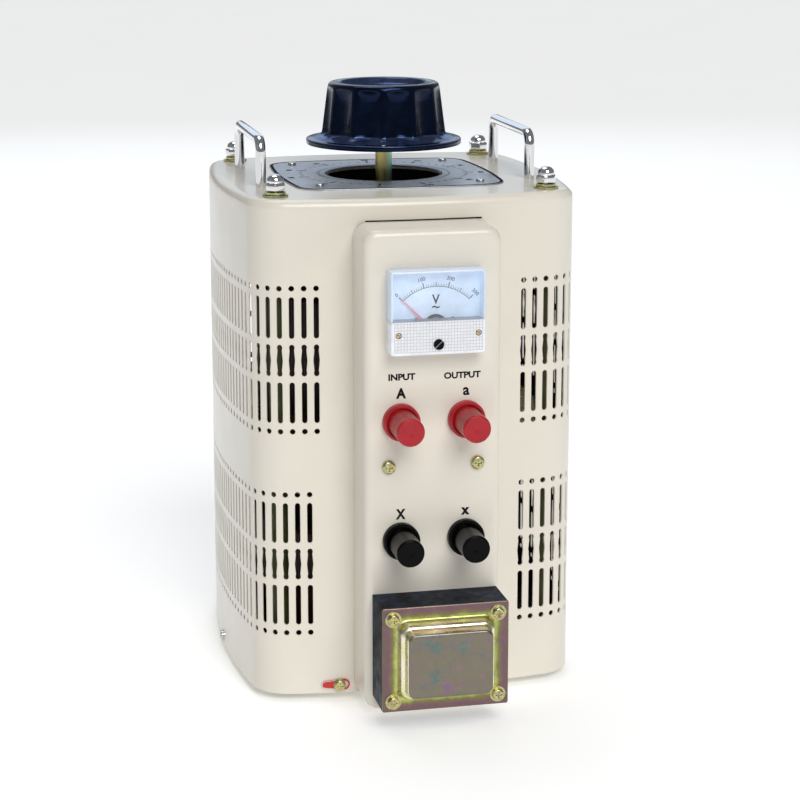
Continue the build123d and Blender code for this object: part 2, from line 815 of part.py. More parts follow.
with BuildPart() as choke_winding:
    with BuildSketch(front_plane(choke_x, choke_z, housing_front + 13)):
        RectangleRounded(52, 38, 4)
    extrude(amount=12.8)
    with BuildSketch(front_plane(choke_x, choke_z, choke_front - 0.2)):
        RectangleRounded(52, 38, 4)
    extrude(amount=13)
save(choke_winding.part, "choke_winding")

with BuildPart() as choke_bell:
    with BuildSketch(front_plane(choke_x, choke_z, choke_front)):
        RectangleRounded(2 * choke_half_x, 2 * choke_half_z, 1.0)
    extrude(amount=1.5)
    with BuildSketch(front_plane(choke_x, choke_z, choke_front - 1.5)):
        RectangleRounded(64, 51, 6)
    extrude(amount=7)
    with BuildSketch(front_plane(choke_x, choke_z, choke_front - 8.5)):
        RectangleRounded(58, 45, 5)
    extrude(amount=9)
    fillet(choke_bell.faces().sort_by(Axis.Y)[0].edges(), 3)
    with BuildSketch(front_plane(choke_x, choke_z, choke_front)):
        RectangleRounded(54, 40, 4)
    extrude(amount=15, mode=Mode.SUBTRACT)
    with BuildSketch(front_plane(choke_x, choke_z, choke_front)):
        with GridLocations(71.5, 57.2, 2, 2):
            Circle(2.2)
    extrude(amount=3, mode=Mode.SUBTRACT)
save(choke_bell.part, "choke_bell")

with BuildPart() as choke_screws:
    choke_corners = [(choke_x + x, choke_z + z) for x in (-35.75, 35.75) for z in (-28.6, 28.6)]
    for x, z in choke_corners:
        with BuildSketch(front_plane(x, z, choke_front - 2.3)):
            Circle(3.9)
        extrude(amount=2.6)
    fillet(choke_screws.faces().sort_by(Axis.Y)[:4].edges(), 1.3)
    for x, z in choke_corners:
        with BuildSketch(front_plane(x, z, choke_front - 4.9)):
            Rectangle(4.4, 0.9)
            Rectangle(0.9, 4.4)
        extrude(amount=-1.4, mode=Mode.SUBTRACT)
        with BuildSketch(front_plane(x, z, choke_front - 2.3)):
            Circle(2.0)
        extrude(amount=-(choke_depth + 2.3 + 8))
save(choke_screws.part, "choke_screws")

with BuildPart() as choke_washers:
    with BuildSketch(front_plane(choke_x, choke_z, choke_front - 1.5)):
        with GridLocations(71.5, 57.2, 2, 2):
            Circle(5.4)
            Circle(2.1, mode=Mode.SUBTRACT)
    extrude(amount=0.8)
save(choke_washers.part, "choke_washers")

# ---- earth terminal ----

earth_plane = wall_plane(wall_length() - earth_along)
with BuildPart() as earth_tag:
    with BuildSketch(earth_plane.offset(0.05)):
        with Locations((0, earth_z)):
            Circle(3.9)
        with Locations((3.2, earth_z)):
            Circle(3.9)
        with Locations((3.2, earth_z)):
            Circle(2.9, mode=Mode.SUBTRACT)
        with Locations((-10.0, earth_z)):
            Circle(2.6)
        with BuildLine():
            Polyline((0.2, earth_z - 3.8), (0.2, earth_z + 3.8), (-10.3, earth_z + 2.58))
            Polyline((-10.3, earth_z + 2.58), (-10.3, earth_z - 2.58), (0.2, earth_z - 3.8))
        make_face()
        with Locations((0, earth_z)):
            Circle(2.6, mode=Mode.SUBTRACT)
    extrude(amount=0.8)
save(earth_tag.part, "earth_tag")

with BuildPart() as earth_screw:
    with BuildSketch(earth_plane.offset(0.85)):
        with Locations((0, earth_z)):
            Circle(4.3)
    extrude(amount=0.9)
    with BuildSketch(earth_plane.offset(1.75)):
        with Locations((0, earth_z)):
            Circle(3.9)
    extrude(amount=2.6)
    fillet(earth_screw.faces().sort_by(Axis.Y)[0].edges(), 1.3)
    with BuildSketch(earth_plane.offset(4.35)):
        with Locations((0, earth_z)):
            Rectangle(4.6, 1.0)
            Rectangle(1.0, 4.6)
    extrude(amount=-1.4, mode=Mode.SUBTRACT)
    with BuildSketch(earth_plane.offset(0.85)):
        with Locations((0, earth_z)):
            Circle(2.2)
    extrude(amount=-7.5)
save(earth_screw.part, "earth_screw")

# ---- wiring ----

with BuildPart() as lead_wires:
    for x in (-post_x, post_x):
        for top, reach in ((post_rows[0] - 7, 8), (post_rows[1] - 7, -6)):
            with BuildLine() as lead_path:
                FilletPolyline(
                    (x, -144, top),
                    (x, -144, top - 30),
                    (x + reach, -109, top - 47),
                    (x + reach, -109, top - 62),
                    (x + reach, -98.2, top - 78),
                    radius=7,
                )
            with BuildSketch(Plane(origin=lead_path.line @ 0, z_dir=lead_path.line % 0)):
                Circle(1.8)
            sweep(path=lead_path.line)
save(lead_wires.part, "lead_wires")
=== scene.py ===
from math import atan2, ceil, copysign, cos, degrees, pi, radians, sin, sqrt
from types import SimpleNamespace

import bmesh
import bpy
from mathutils import Matrix, Vector


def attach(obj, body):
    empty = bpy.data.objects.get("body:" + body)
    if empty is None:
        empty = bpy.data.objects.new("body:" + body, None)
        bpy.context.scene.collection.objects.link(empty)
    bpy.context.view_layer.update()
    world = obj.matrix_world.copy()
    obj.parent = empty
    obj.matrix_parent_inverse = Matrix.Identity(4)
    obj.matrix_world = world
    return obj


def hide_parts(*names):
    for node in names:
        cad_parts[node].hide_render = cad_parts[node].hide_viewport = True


bl_info = {
    "name": "Bench voltage regulator",
    "version": (1, 0, 0),
    "blender": (4, 5, 0),
    "location": "3D View > Sidebar > Regulator",
    "description": "Builds the looks of a bench voltage regulator round its solid model",
    "category": "Object",
}

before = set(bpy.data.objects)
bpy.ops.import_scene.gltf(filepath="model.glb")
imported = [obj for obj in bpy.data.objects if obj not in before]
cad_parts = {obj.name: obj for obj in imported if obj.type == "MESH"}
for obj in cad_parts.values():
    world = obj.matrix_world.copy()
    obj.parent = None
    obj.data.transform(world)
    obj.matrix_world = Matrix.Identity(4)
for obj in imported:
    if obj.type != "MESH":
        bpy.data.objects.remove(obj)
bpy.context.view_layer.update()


# ---- sizes and colours ----


def length(name, description, millimetres):
    return bpy.props.FloatProperty(
        name=name, description=description, default=millimetres / 1000, unit="LENGTH", subtype="DISTANCE"
    )


def colour(name, description, value):
    return bpy.props.FloatVectorProperty(
        name=name, description=description, default=value, size=3, min=0, max=1, subtype="COLOR"
    )


class RegulatorSizes(bpy.types.PropertyGroup):
    """Sizes of the regulator's pieces."""

    case_half: length("Case half width", "From the shaft to the middle of a case side", 121.4)
    bow_radius: length("Bow radius", "Radius of the gently bowed case sides", 560.0)
    corner_radius: length("Corner radius", "Radius of the case's upright corners", 28.0)
    sheet: length("Sheet", "Thickness of the case sheet", 1.2)
    case_bottom: length("Case bottom", "Height of the wall's lower edge", 5.0)
    seam: length("Seam", "Height of the seam between wall and cover", 340.0)
    top: length("Top", "Height of the cover's top", 350.0)
    upper_band: length("Upper vents", "Height of the middle of the upper vents", 241.4)
    lower_band: length("Lower vents", "Height of the middle of the lower vents", 98.7)
    vent_pitch: length("Vent pitch", "Distance from one vent column to the next", 8.3)
    dial_half: length("Dial half width", "From the shaft to the middle of a dial side", 77.0)
    dial_hole: length("Dial hole", "Radius of the hole in the dial", 41.0)
    housing_half: length("Housing half width", "Half the width of the front housing", 46.6)
    housing_front: length("Housing front", "How far the housing's face is from the shaft", 157.6)
    housing_top: length("Housing top", "Height of the housing's top", 335.0)
    knob_bottom: length("Knob bottom", "Height of the knob's skirt", 372.6)
    knob_top: length("Knob top", "Height of the knob's rim", 416.5)
    meter_height: length("Meter height", "Height of the middle of the meter", 281.8)
    meter_pivot: length("Needle pivot", "Height of the needle's pivot", 267.1)
    post_x: length("Post spacing", "From the middle to a column of posts", 22.2)
    red_row: length("Upper posts", "Height of the upper posts", 206.5)
    black_row: length("Lower posts", "Height of the lower posts", 124.7)
    choke_x: length("Choke offset", "How far right of the middle the choke is", 1.3)
    choke_z: length("Choke height", "Height of the middle of the choke", 52.2)
    rod_spread: length("Rod spread", "From the shaft to a tie rod, along each side", 94.0)


class RegulatorColours(bpy.types.PropertyGroup):
    """Colours of the regulator's pieces."""

    enamel: colour("Enamel", "Baked enamel of the case", (0.76, 0.715, 0.625))
    dial_plate: colour("Dial plate", "Anodised dial plate", (0.33, 0.355, 0.40))
    red_plastic: colour("Red plastic", "Upper binding posts", (0.40, 0.010, 0.018))
    black_plastic: colour("Black plastic", "Lower binding posts", (0.0015, 0.0015, 0.002))
    knob: colour("Knob", "Knob moulding", (0.0012, 0.002, 0.005))
    card: colour("Meter card", "Printed card in the meter", (0.58, 0.70, 0.86))
    needle: colour("Needle", "Meter needle", (0.90, 0.30, 0.38))


def sizes():
    group = bpy.context.scene.regulator_sizes
    return SimpleNamespace(**{key: getattr(group, key) * 1000 for key in RegulatorSizes.__annotations__})


def colours():
    return bpy.context.scene.regulator_colours


# ---- places, in millimetres ----


def upright(x, y, z, turn=0.0):
    return Matrix.Translation((x, y, z)) @ Matrix.Rotation(turn, 4, "Z")


def on_front(x, z, y):
    """Local x runs right, local y up and local z out of the front."""
    return Matrix(((1, 0, 0, x), (0, 0, -1, y), (0, 1, 0, z), (0, 0, 0, 1)))


def bowed_square(half, bow, corner):
    """How far the middle of a bowed side's arc lies behind the shaft, how far along
    each axis the middle of a corner's arc is, and the angle where side meets corner."""
    reach = bow - half
    inner = bow - corner
    corner_middle = (sqrt(2 * inner * inner - reach * reach) - reach) / 2
    return reach, corner_middle, atan2(corner_middle, corner_middle + reach)


def plan_point(distance, half, bow, corner):
    """A point on a bowed square with round corners, and the way out there."""
    reach, corner_middle, turn = bowed_square(half, bow, corner)
    side_end = bow * turn
    corner_end = side_end + corner * (pi / 2 - 2 * turn)
    quarter = corner_end + side_end
    side = int(distance // quarter)
    along = distance - side * quarter
    if along <= side_end:
        angle = along / bow
        x, y = bow * sin(angle), reach - bow * cos(angle)
    elif along <= corner_end:
        angle = turn + (along - side_end) / corner
        x, y = corner_middle + corner * sin(angle), -corner_middle - corner * cos(angle)
    else:
        angle = pi / 2 - turn + (along - corner_end) / bow
        x, y = bow * sin(angle) - reach, -bow * cos(angle)
    c, s = ((1, 0), (0, 1), (-1, 0), (0, -1))[side % 4]
    nx, ny = sin(angle), -cos(angle)
    return x * c - y * s, x * s + y * c, nx * c - ny * s, nx * s + ny * c


def plan_lengths(half, bow, corner):
    """The lengths along a side from its middle to the corner, and once round."""
    turn = bowed_square(half, bow, corner)[2]
    side_end = bow * turn
    return side_end, 4 * (2 * side_end + corner * (pi / 2 - 2 * turn))


def stations(half, bow, corner, side_step, corner_step):
    """Distances round a bowed square, closer together in its corners."""
    side_end, around = plan_lengths(half, bow, corner)
    quarter = around / 4
    corner_length = quarter - 2 * side_end
    side_count = max(1, ceil(side_end / side_step))
    corner_count = ceil(corner_length / corner_step)
    found = []
    for side in range(4):
        start = side * quarter
        found += [start + side_end * k / side_count for k in range(side_count)]
        found += [start + side_end + corner_length * k / corner_count for k in range(corner_count)]
        found += [start + quarter - side_end * (1 - k / side_count) for k in range(side_count)]
    return found


def on_wall(distance, z, s):
    """Local x runs along the case wall, local y up and local z out of it."""
    x, y, nx, ny = plan_point(distance, s.case_half, s.bow_radius, s.corner_radius)
    return Matrix(((-ny, 0, nx, x), (nx, 0, ny, y), (0, 1, 0, z), (0, 0, 0, 1)))


# ---- modelling helpers, in millimetres ----


def ring_edges(verts):
    chosen = set(verts)
    return [e for e in {e for v in verts for e in v.link_edges} if chosen.issuperset(e.verts)]


def only(geometry, kind):
    return [g for g in geometry if isinstance(g, kind)]


def circle_loop(bm, radius, height, segments):
    place = Matrix.Translation((0, 0, height))
    return bmesh.ops.create_circle(
        bm, cap_ends=False, radius=radius, segments=segments, matrix=place
    )["verts"]


def corner_loop(bm, width, height, radius, depth, steps=6):
    """A rectangle with round corners."""
    half_step = pi / (4 * steps)
    turned = Matrix.Rotation(half_step, 4, "Z")
    verts = bmesh.ops.create_circle(
        bm, cap_ends=False, radius=radius / cos(half_step), segments=4 * steps, matrix=turned
    )["verts"]
    for v in verts:
        v.co.x += copysign(width / 2 - radius, v.co.x)
        v.co.y += copysign(height / 2 - radius, v.co.y)
        v.co.z = depth
    return verts


def bowed_loop(bm, places, half, bow, corner, inset, height):
    """A bowed square with round corners, moved in by inset."""
    verts = bmesh.ops.create_circle(bm, cap_ends=False, radius=half, segments=len(places))["verts"]
    for v, distance in zip(verts, places):
        x, y, nx, ny = plan_point(distance, half, bow, corner)
        v.co = (x - nx * inset, y - ny * inset, height)
    return verts


def hole_loop(bm, places, shape, radius, height):
    """A round hole's loop with its points straight inside those of a bowed loop."""
    verts = circle_loop(bm, radius, height, len(places))
    for v, distance in zip(verts, places):
        x, y = plan_point(distance, *shape)[:2]
        angle = atan2(y, x)
        v.co = (radius * cos(angle), radius * sin(angle), height)
    return verts


def join_loops(bm, loops, closed=False):
    rings = [ring_edges(loop) for loop in loops]
    pairs = list(zip(rings, rings[1:])) + ([(rings[-1], rings[0])] if closed else [])
    made = []
    for one, other in pairs:
        made += bmesh.ops.bridge_loops(bm, edges=one + other)["faces"]
    return made


def cap_loop(bm, verts):
    return bmesh.ops.edgeloop_fill(bm, edges=ring_edges(verts))["faces"]


def spin_profile(bm, profile, segments, turn=2 * pi):
    """Turns a profile of (radius, height) points about local z."""
    verts = [bm.verts.new((radius, 0, height)) for radius, height in profile]
    edges = [bm.edges.new(pair) for pair in zip(verts, verts[1:])]
    full = abs(turn - 2 * pi) < 1e-6
    bmesh.ops.spin(
        bm, geom=verts + edges, cent=(0, 0, 0), axis=(0, 0, 1), angle=turn, steps=segments, use_merge=full
    )


def cut_across(bm, x):
    """Adds edges where an upright plane at x crosses the mesh."""
    everything = bm.verts[:] + bm.edges[:] + bm.faces[:]
    bmesh.ops.bisect_plane(bm, geom=everything, dist=1e-4, plane_co=(x, 0, 0), plane_no=(1, 0, 0))


def flat_bar(bm, place, near, far, thick):
    """A printed bar along local x, from near to far."""
    corners = ((near, -thick / 2), (far, -thick / 2), (far, thick / 2), (near, thick / 2))
    return bm.faces.new([bm.verts.new(place @ Vector((x, y, 0))) for x, y in corners])


def face_towards(bm, way):
    """Turns flat faces so that all of them look along way."""
    for f in bm.faces:
        f.normal_update()
        if f.normal.dot(way) < 0:
            f.normal_flip()


def prism(bm, outline, low, high):
    """A flat outline of (x, y) points raised from low to high."""
    face = bm.faces.new([bm.verts.new((x, y, low)) for x, y in outline])
    raised = bmesh.ops.extrude_face_region(bm, geom=[face])["geom"]
    bmesh.ops.translate(bm, vec=(0, 0, high - low), verts=only(raised, bmesh.types.BMVert))


def arc_points(radius, start, end, steps, middle=(0.0, 0.0)):
    return [
        (
            middle[0] + radius * cos(radians(start + (end - start) * k / steps)),
            middle[1] + radius * sin(radians(start + (end - start) * k / steps)),
        )
        for k in range(steps + 1)
    ]


def add_shape(bm, part, places, material_index=None):
    """Copies a finished part into bm at each place, and empties the part."""
    if material_index is not None:
        for f in part.faces:
            f.material_index = material_index
    for place in places:
        mesh = bpy.data.meshes.new("copy")
        part.to_mesh(mesh)
        mesh.transform(place)
        bm.from_mesh(mesh)
        bpy.data.meshes.remove(mesh)
    part.free()


def add_words(bm, words, height, place, weight=0.0, squeeze=1.0):
    """Flat lettering of a given capital height, centred on its place."""
    curve = bpy.data.curves.new("words", "FONT")
    curve.body = words
    curve.size = 1.0
    curve.offset = weight
    curve.resolution_u = 3
    curve.align_x = "CENTER"
    holder = bpy.data.objects.new("words", curve)
    bpy.context.scene.collection.objects.link(holder)
    bpy.context.view_layer.update()
    mesh = bpy.data.meshes.new_from_object(holder)
    ys = [v.co.y for v in mesh.vertices]
    xs = [v.co.x for v in mesh.vertices]
    k = height / (max(ys) - min(ys))
    centre = Vector(((max(xs) + min(xs)) / 2, (max(ys) + min(ys)) / 2, 0))
    mesh.transform(place @ Matrix.Diagonal((k * squeeze, k, 1, 1)) @ Matrix.Translation(-centre))
    bm.from_mesh(mesh)
    bpy.data.objects.remove(holder)
    bpy.data.curves.remove(curve)
    bpy.data.meshes.remove(mesh)


def make_piece(name, bm, body, materials, nodes=(), sharp=32.0, outward=True):
    """Turns bm, in millimetres, into a piece that rides on a body."""
    if outward:
        bmesh.ops.remove_doubles(bm, verts=bm.verts, dist=0.002)
        bmesh.ops.recalc_face_normals(bm, faces=bm.faces)
    for f in bm.faces:
        f.smooth = True
    for e in bm.edges:
        e.smooth = len(e.link_faces) == 2 and e.calc_face_angle(0) < radians(sharp)
    bmesh.ops.scale(bm, vec=(0.001, 0.001, 0.001), verts=bm.verts)
    mesh = bpy.data.meshes.new(name)
    bm.to_mesh(mesh)
    bm.free()
    piece = bpy.data.objects.new(name, mesh)
    bpy.context.scene.collection.objects.link(piece)
    for material in materials:
        mesh.materials.append(material)
    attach(piece, body)
    if nodes:
        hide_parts(*nodes)
    return piece


def dress(material, *nodes):
    """Gives CAD nodes a finish."""
    for node in nodes:
        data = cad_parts[node].data
        data.materials.clear()
        data.materials.append(material)


# ---- materials ----


def surface(name, base, roughness, metallic=0.0, **sockets):
    """A new material, with its even values set on the shader's own sockets."""
    material = bpy.data.materials.get(name + "_finish")
    if material:
        return material, False
    material = bpy.data.materials.new(name + "_finish")
    material.use_nodes = True
    shader = material.node_tree.nodes["Principled BSDF"]
    shader.inputs["Base Color"].default_value = (*base, 1)
    shader.inputs["Roughness"].default_value = roughness
    shader.inputs["Metallic"].default_value = metallic
    for socket, value in sockets.items():
        shader.inputs[socket.replace("_", " ")].default_value = value
    return material, True


def add_node(material, kind, **values):
    node = material.node_tree.nodes.new(kind)
    for key, value in values.items():
        if key in node.inputs and not hasattr(type(node), key):
            node.inputs[key].default_value = value
        else:
            setattr(node, key, value)
    return node


def link(material, out_socket, in_socket):
    material.node_tree.links.new(out_socket, in_socket)


def shader_of(material):
    return material.node_tree.nodes["Principled BSDF"]


def stretched_coordinates(material, stretch=(1, 1, 1), shift=(0, 0, 0)):
    where = add_node(material, "ShaderNodeTexCoord")
    mapping = add_node(material, "ShaderNodeMapping")
    mapping.inputs["Scale"].default_value = stretch
    mapping.inputs["Location"].default_value = shift
    link(material, where.outputs["Object"], mapping.inputs["Vector"])
    return mapping.outputs["Vector"]


def noise(material, scale, detail=4.0, stretch=(1, 1, 1), rough=0.55):
    node = add_node(material, "ShaderNodeTexNoise")
    node.inputs["Scale"].default_value = scale
    node.inputs["Detail"].default_value = detail
    node.inputs["Roughness"].default_value = rough
    link(material, stretched_coordinates(material, stretch), node.inputs["Vector"])
    return node.outputs["Fac"]


def ramp(material, source, stops):
    node = add_node(material, "ShaderNodeValToRGB")
    bar = node.color_ramp
    while len(bar.elements) > 1:
        bar.elements.remove(bar.elements[-1])
    bar.elements[0].position = stops[0][0]
    bar.elements[0].color = (*stops[0][1], 1)
    for position, value in stops[1:]:
        bar.elements.new(position).color = (*value, 1)
    link(material, source, node.inputs["Fac"])
    return node.outputs["Color"]


def vary_colour(material, source, stops):
    link(material, ramp(material, source, stops), shader_of(material).inputs["Base Color"])


def vary_roughness(material, source, low, high):
    node = add_node(material, "ShaderNodeMapRange")
    node.inputs["From Min"].default_value = 0.3
    node.inputs["From Max"].default_value = 0.7
    node.inputs["To Min"].default_value = low
    node.inputs["To Max"].default_value = high
    link(material, source, node.inputs["Value"])
    link(material, node.outputs["Result"], shader_of(material).inputs["Roughness"])


def raise_surface(material, *layers):
    """Each layer is (height source, strength, distance in metres)."""
    last = None
    for source, strength, distance in layers:
        node = add_node(material, "ShaderNodeBump")
        node.inputs["Strength"].default_value = strength
        node.inputs["Distance"].default_value = distance
        link(material, source, node.inputs["Height"])
        if last:
            link(material, last, node.inputs["Normal"])
        last = node.outputs["Normal"]
    link(material, last, shader_of(material).inputs["Normal"])


def enamel():
    base = Vector(colours().enamel)
    material, new = surface("cream_enamel", base, 0.32, Coat_Weight=0.35, Coat_Roughness=0.12)
    if new:
        vary_colour(
            material,
            noise(material, 14, 5),
            [(0.3, tuple(base * 0.97)), (0.5, tuple(base)), (0.72, tuple(base * 1.02))],
        )
        vary_roughness(material, noise(material, 60, 5), 0.29, 0.37)
        raise_surface(material, (noise(material, 600, 2), 0.07, 0.0004))
    return material


def painted_shade_inside():
    """A dark finish for the case's inner faces and the gap under the housing's top: painted shade, where the
    inside lies in shadow.
    """
    return moulding("painted_shade_inside", (0.02, 0.02, 0.02), 0.6, 500, Specular_IOR_Level=0.1)


def chrome():
    material, new = surface("chrome_plate", (0.83, 0.83, 0.85), 0.06, 1.0)
    if new:
        vary_roughness(material, noise(material, 400, 4), 0.03, 0.12)
        raise_surface(material, (noise(material, 160, 3), 0.06, 0.0008))
    return material


def passivated(name, scale, green, shine=0.28):
    """Yellow chromated zinc, with its rainbow cast."""
    material, new = surface(name, (0.62, 0.55, 0.30), shine, 1.0)
    if new:
        vary_colour(
            material,
            noise(material, scale, 4),
            [
                (0.30, (0.28, 0.36, 0.22) if green else (0.34, 0.22, 0.22)),
                (0.42, (0.46, 0.44, 0.20)),
                (0.52, (0.62, 0.54, 0.24)),
                (0.60, (0.34, 0.42, 0.27)),
                (0.70, (0.44, 0.28, 0.28)),
            ],
        )
        vary_roughness(material, noise(material, scale * 6, 4), shine * 0.7, shine * 1.4)
        raise_surface(material, (noise(material, 700, 3), 0.12, 0.0003))
    return material


def bright_steel():
    material, new = surface("bright_steel", (0.66, 0.66, 0.66), 0.25, 1.0)
    if new:
        vary_roughness(material, noise(material, 300, 4), 0.15, 0.35)
        raise_surface(material, (noise(material, 500, 3), 0.08, 0.0003))
    return material


def brass():
    material, new = surface("brass", (0.72, 0.52, 0.24), 0.28, 1.0)
    if new:
        vary_roughness(material, noise(material, 300, 4), 0.18, 0.4)
        raise_surface(material, (noise(material, 600, 3), 0.08, 0.0003))
    return material


def moulding(name, base, roughness, grain=1200, **sockets):
    """An even plastic, paint or board, slightly uneven in colour and shine."""
    material, new = surface(name, base, roughness, **sockets)
    if new:
        base = Vector(base)
        stops = [(0.35, tuple(base * 0.9)), (0.7, tuple(base * 1.12))]
        vary_colour(material, noise(material, 90, 4), stops)
        vary_roughness(material, noise(material, 220, 4), roughness * 0.8, roughness * 1.25)
        raise_surface(material, (noise(material, grain, 3), 0.10, 0.0002))
    return material


def red_plastic():
    return moulding("red_plastic", tuple(colours().red_plastic), 0.34, Specular_IOR_Level=0.4)


def black_plastic():
    return moulding("black_plastic", tuple(colours().black_plastic), 0.2, Specular_IOR_Level=0.09)


def phenolic():
    """The knob's black moulding, with a blue sheen."""
    base = tuple(colours().knob)
    material, new = surface(
        "phenolic", base, 0.14, Specular_IOR_Level=0.42, Coat_Weight=0.05, Coat_Roughness=0.04
    )
    if new:
        shader_of(material).inputs["Specular Tint"].default_value = (0.18, 0.36, 1.0, 1)
        shader_of(material).inputs["Coat Tint"].default_value = (0.75, 0.85, 1.0, 1)
        vary_roughness(material, noise(material, 120, 5), 0.10, 0.26)
        raise_surface(material, (noise(material, 240, 3), 0.10, 0.0006))
    return material


def phenolic_painted_sheen():
    """The same moulding, lighter and bluer on the upward faces of its skirt and in its dish: painted sheen,
    for the light those faces catch.
    """
    material, new = surface("phenolic_painted_sheen", (0.010, 0.018, 0.045), 0.22, 0.35, Specular_IOR_Level=0.9)
    if new:
        shader_of(material).inputs["Specular Tint"].default_value = (0.35, 0.55, 1.0, 1)
        # lighter blue base colour: painted sheen
        vary_colour(
            material,
            noise(material, 70, 4),
            [(0.35, (0.012, 0.022, 0.060)), (0.55, (0.030, 0.045, 0.110)), (0.7, (0.055, 0.060, 0.110))],
        )
        vary_roughness(material, noise(material, 120, 5), 0.16, 0.30)
        raise_surface(material, (noise(material, 240, 3), 0.10, 0.0006))
    return material


def ink(name="ink", base=(0.012, 0.012, 0.014)):
    return moulding(name, base, 0.75, Specular_IOR_Level=0.04)


def anodised():
    """The dial's brushed plate."""
    base = Vector(colours().dial_plate)
    material, new = surface("anodised_plate", base, 0.34, 0.55)
    if new:
        vary_colour(
            material,
            noise(material, 40, 5),
            [(0.35, tuple(base * 0.88)), (0.5, tuple(base)), (0.68, tuple(base * 1.15))],
        )
        vary_roughness(material, noise(material, 200, 4, (1, 12, 1)), 0.26, 0.42)
        raise_surface(material, (noise(material, 300, 3, (1, 14, 1)), 0.06, 0.0003))
    return material


def coil_wire():
    """Varnished copper turns that run up the outside and across the top of a ring coil."""
    material, new = surface("coil_wire", (0.10, 0.035, 0.012), 0.38, 0.25)
    if new:
        where = add_node(material, "ShaderNodeTexCoord")
        angle = add_node(material, "ShaderNodeTexGradient", gradient_type="RADIAL")
        link(material, where.outputs["Object"], angle.inputs["Vector"])
        turns_in_coil = 260
        turns = add_node(material, "ShaderNodeMath", operation="MULTIPLY")
        turns.inputs[1].default_value = 2 * pi * turns_in_coil
        link(material, angle.outputs["Fac"], turns.inputs[0])
        wave = add_node(material, "ShaderNodeMath", operation="SINE")
        link(material, turns.outputs["Value"], wave.inputs[0])
        vary_colour(
            material,
            noise(material, 30, 4),
            [(0.35, (0.012, 0.006, 0.004)), (0.55, (0.035, 0.014, 0.007)), (0.7, (0.09, 0.036, 0.016))],
        )
        raise_surface(material, (wave.outputs["Value"], 0.5, 0.0008))
    return material


def laminations():
    """Varnished steel sheets, stacked front to back."""
    material, new = surface("laminations", (0.010, 0.012, 0.020), 0.45, 0.0, Specular_IOR_Level=0.07)
    if new:
        wave = add_node(material, "ShaderNodeTexWave", wave_type="BANDS", bands_direction="Y")
        wave.inputs["Scale"].default_value = 314
        wave.inputs["Distortion"].default_value = 0.6
        link(material, stretched_coordinates(material), wave.inputs["Vector"])
        vary_colour(
            material,
            noise(material, 60, 5),
            [(0.35, (0.004, 0.005, 0.009)), (0.55, (0.014, 0.021, 0.040)), (0.7, (0.034, 0.046, 0.078))],
        )
        vary_roughness(material, noise(material, 150, 4), 0.36, 0.6)
        dents = noise(material, 120, 4)
        raise_surface(material, (wave.outputs["Fac"], 0.18, 0.0003), (dents, 0.25, 0.0008))
    return material


def bell_face_zinc():
    """The flat of the choke cover: clouded mauve and green, with fine scratches."""
    material, new = surface("bell_face_zinc", (0.2, 0.17, 0.16), 0.36, 1.0)
    if new:
        vary_colour(
            material,
            noise(material, 62, 6, rough=0.7),
            [
                (0.32, (0.24, 0.16, 0.23)),
                (0.42, (0.25, 0.19, 0.18)),
                (0.47, (0.21, 0.21, 0.14)),
                (0.53, (0.24, 0.19, 0.17)),
                (0.62, (0.12, 0.21, 0.18)),
                (0.70, (0.26, 0.18, 0.21)),
            ],
        )
        vary_roughness(material, noise(material, 260, 5), 0.26, 0.46)
        scratches = noise(material, 420, 2, (1.0, 1.0, 0.10), rough=0.7)
        dents = noise(material, 140, 4)
        raise_surface(material, (scratches, 0.16, 0.0003), (dents, 0.14, 0.0006))
    return material


def bell_side_zinc():
    """The drawn sides of the choke cover, brighter than the flat: their yellow passivate, lightened as a
    painted highlight for the light these sides catch.
    """
    material, new = surface("bell_side_zinc", (0.85, 0.8, 0.55), 0.3, 1.0)
    if new:
        # bright yellow-white: partly the passivate's own colour, partly painted highlight
        vary_colour(
            material,
            noise(material, 80, 4),
            [(0.35, (0.70, 0.72, 0.40)), (0.5, (0.88, 0.84, 0.56)), (0.65, (0.90, 0.86, 0.74))],
        )
        vary_roughness(material, noise(material, 260, 5), 0.22, 0.38)
        raise_surface(material, (noise(material, 500, 3, (1, 0.2, 1)), 0.16, 0.0004))
    return material


